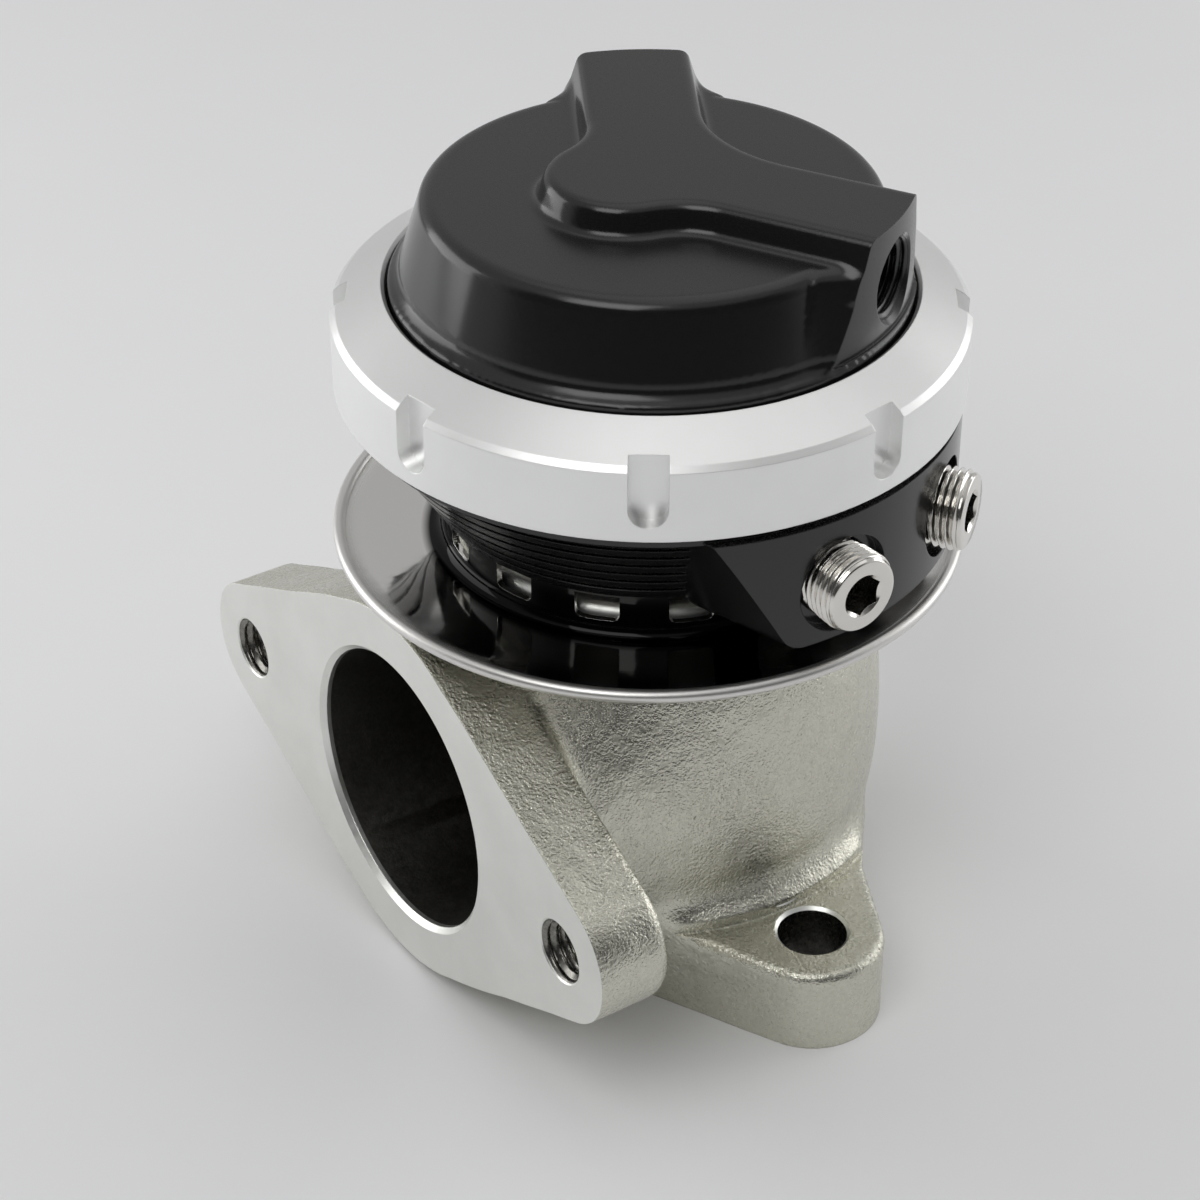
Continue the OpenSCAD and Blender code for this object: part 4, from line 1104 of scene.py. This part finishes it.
def arm_outline(angle):
    """One port arm from above, with fillets into the round wall."""
    side, reach = ARM_HALF + ARM_FILLET, CAP_WALL_R + ARM_FILLET
    along = math.sqrt(reach ** 2 - side ** 2)
    root = math.degrees(math.asin(side / reach))
    fillet = arc((along, side), ARM_FILLET, 270, 180 + root, 24)
    upper = [(ARM_REACH + ARM_SPARE, ARM_HALF)] + fillet + [(0, 0)]
    return turned(upper + [(x, -y) for x, y in reversed(upper)], angle)


def ridge_outline():
    """The raised Y from above: two arms and a round nose, joined by swept flutes."""
    arm = ARM_ANGLES[0]
    nose = turned([(0, -NOSE_REACH)], -arm)[0]
    side = RIDGE_HALF + NOSE_FILLET
    cx = nose[0] + math.sqrt((NOSE_R + NOSE_FILLET) ** 2 - (side + nose[1]) ** 2)
    centre = (cx, -side)
    meet = math.degrees(math.atan2(nose[1] + side, nose[0] - cx))
    front = turned([(ARM_REACH + ARM_SPARE, -RIDGE_HALF)]
                   + arc(centre, NOSE_FILLET, 90, meet, 20), arm)
    flute = turned([centre], arm)[0]
    nose_angle = math.degrees(math.atan2(flute[1] + NOSE_REACH, flute[0]))
    tip = arc((0, -NOSE_REACH), NOSE_R, nose_angle, -180 - nose_angle, 48)
    back_y = (RIDGE_HALF + BACK_FILLET) / math.sin(math.radians(60))
    back = arc((0, back_y), BACK_FILLET, 240, 300, 24)
    end = turned([(ARM_REACH + ARM_SPARE, RIDGE_HALF)], arm)
    return front + tip[1:-1] + mirrored(front) + mirrored(end) + back + end


def cap_field(x, y, z):
    """Distance to the cap before its ends, inside and ports are cut."""
    flat_x, flat_y = x[:, :, 0], y[:, :, 0]
    r = np.hypot(x, y)
    lean = CAP_DRAFT * np.maximum(z - CAP_WALL_Z, 0)
    flare = np.clip((CAP_WALL_Z - z) / (CAP_WALL_Z - CAP_FOOT_Z - CAP_FOOT_LAP), 0, 1)
    lean = lean - (CAP_RING_R - CAP_WALL_R) * flare ** CAP_FLARE_POWER
    tilt = 1 / math.sqrt(1 + CAP_DRAFT ** 2)
    wall = (r - CAP_WALL_R + lean) * tilt
    arms = np.minimum(*[outline_distance(flat_x, flat_y, arm_outline(a)) for a in ARM_ANGLES])
    arms = (arms[:, :, None] + lean) * tilt
    edge = ARM_REACH + ARM_END_STOCK * np.clip((z - ARM_END_Z) / ARM_END_BLEND, 0, 1)
    arms = np.maximum(arms, r - edge)
    shape = round_common(np.minimum(wall, arms), z - CAP_TOP_Z, CAP_ROUND)
    shape = np.maximum(shape, CAP_FOOT_Z + CAP_FOOT_LAP - z)
    shape = np.minimum(shape, np.maximum(r - CAP_RING_R, z - CAP_FOOT_Z - CAP_RING_LAP))
    shape = np.minimum(shape, np.maximum(r - CAP_FLANGE_R, z - CAP_FLANGE_Z))
    ridge = outline_distance(flat_x, flat_y, ridge_outline())[:, :, None]
    slope = RIDGE_DRAFT * (z - CAP_TOP_Z - RIDGE_BASE)
    ridge = (ridge + slope) / math.sqrt(1 + RIDGE_DRAFT ** 2)
    ridge = round_common(ridge, z - RIDGE_Z, RIDGE_ROUND)
    ridge = np.maximum(ridge, CAP_TOP_Z - RIDGE_ROOT - z)
    ridge = np.maximum(ridge, r - ARM_REACH - ARM_END_STOCK)
    return np.maximum(round_union(shape, ridge, RIDGE_ROUND), BEAD_Z - z)


def build_cap():
    low = (-CAP_HALF, -CAP_HALF, BEAD_Z - CAP_MARGIN)
    high = (CAP_HALF, CAP_HALF, RIDGE_Z + CAP_MARGIN)
    field = cap_field(*grid(low, high, CAP_STEP))
    cap = add_object("cap_casting", mesh_of("cap_casting", *surface_net(field, low, CAP_STEP)))
    cap.data.materials.append(black.material)
    cut_z, cut_r, cut_top = ARM_CUT
    below = BEAD_Z - CAP_SPARE
    cutters = [
        lathe("ends", [(ARM_REACH, cut_z), (cut_r, cut_z), (cut_r, cut_top),
                       (ARM_REACH, cut_top)], 256),
        lathe("inside", [(0, below), (CAP_INSIDE[0][0], below), *CAP_INSIDE], 128),
    ]
    pieces = [cap]
    outer = CAP_PORT_R + CAP_PORT_CHAMFER
    start = outer - CAP_SLEEVE_R
    profile = [(start + CAP_THREAD_START, CAP_SLEEVE_R, 0.0),
               (CAP_PORT_CHAMFER, CAP_PORT_R, THREAD_ROOM),
               (CAP_PORT_DEPTH - CAP_THREAD_SHORT, CAP_PORT_R, THREAD_ROOM)]
    for angle in ARM_ANGLES:
        a = math.radians(angle)
        place = aim((*polar(ARM_REACH, a), CAP_PORT_Z), (*polar(-1, a), 0))
        cutters.append(lathe("port", [(0, -CAP_SPARE), (outer + CAP_SPARE, -CAP_SPARE),
                                      (CAP_SLEEVE_R, start), (CAP_SLEEVE_R, CAP_PORT_DEPTH),
                                      (0, CAP_PORT_DEPTH)], 96, place))
        sleeve = thread_tube("cap_thread_%d" % angle, profile, NPT_PITCH,
                             CAP_THREAD_R - CAP_PORT_R, place, outer=CAP_SLEEVE_R + CAP_SLEEVE_T)
        sleeve.data.materials.append(black_turned.material)
        smooth(sleeve, 40)
        pieces.append(sleeve)
    carve(cap, cutters, black_turned.material)
    smooth(cap, 35)
    for piece in pieces:
        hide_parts("cap")
        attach(piece, "cap")


# Springs and diaphragm

def build_spring(name, mean_r, wire, turns, finish):
    """A closed-end coil spring of round wire."""
    steps, sides = int(turns * SPRING_STEPS), SPRING_SIDES
    closed, rise = SPRING_DEAD_TURNS / turns, SPRING_DEAD_TURNS * wire
    free = SPRING_LEN - wire - 2 * rise
    points = []
    for i in range(steps + 1):
        s = i / steps
        z = float(np.interp(s, [0, closed, 1 - closed, 1], [0, rise, rise + free, 2 * rise + free]))
        a = 2 * math.pi * turns * s
        for k in range(sides):
            b = 2 * math.pi * k / sides
            r = mean_r + wire / 2 * math.cos(b)
            points.append((*polar(r, a), SPRING_Z + z + wire / 2 * (1 + math.sin(b))))
    faces = [(i * sides + k, i * sides + (k + 1) % sides, (i + 1) * sides + (k + 1) % sides,
              (i + 1) * sides + k) for i in range(steps) for k in range(sides)]
    faces += [tuple(range(sides)), tuple(range(steps * sides + sides - 1, steps * sides - 1, -1))]
    spring = solid(name, points, faces)
    spring.data.materials.append(finish.material)
    smooth(spring, 50)
    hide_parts(name.replace("_coil", "_spring"))
    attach(spring, "body")
    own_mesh(spring)


def build_diaphragm():
    fold = [(r, DIAPHRAGM_Z + z) for r, z in DIAPHRAGM_UNDER] + list(DIAPHRAGM_BEAD)
    fold += [(r, DIAPHRAGM_Z + z) for r, z in DIAPHRAGM_OVER]
    membrane = lathe("diaphragm_sheet", fold, 192)
    membrane.data.materials.append(cloth_rubber.material)
    smooth(membrane, 40)
    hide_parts("diaphragm")
    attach(membrane, "body")
    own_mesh(membrane)


dress_nodes()
place_camera()
softbox("top_box", (-95, 240, 860), (800, 800), 0.9)
softbox("front_box", (277, -480, 764), (480, 480), 1.8)
softbox("left_box", (-420, -330, 175), (380, 320), 0.8)
softbox("back_box", (97, 551, 180), (380, 320), 0.6)
make_sky()
make_floor()
build_body()
build_shield()
build_plugs()
build_cap()
build_spring("outer_coil", 19.6, 2.6, 4.5, spring_red)
build_spring("middle_coil", 15.0, 2.0, 5.5, spring_blue)
build_spring("inner_coil", 10.8, 1.6, 6.5, spring_yellow)
build_diaphragm()
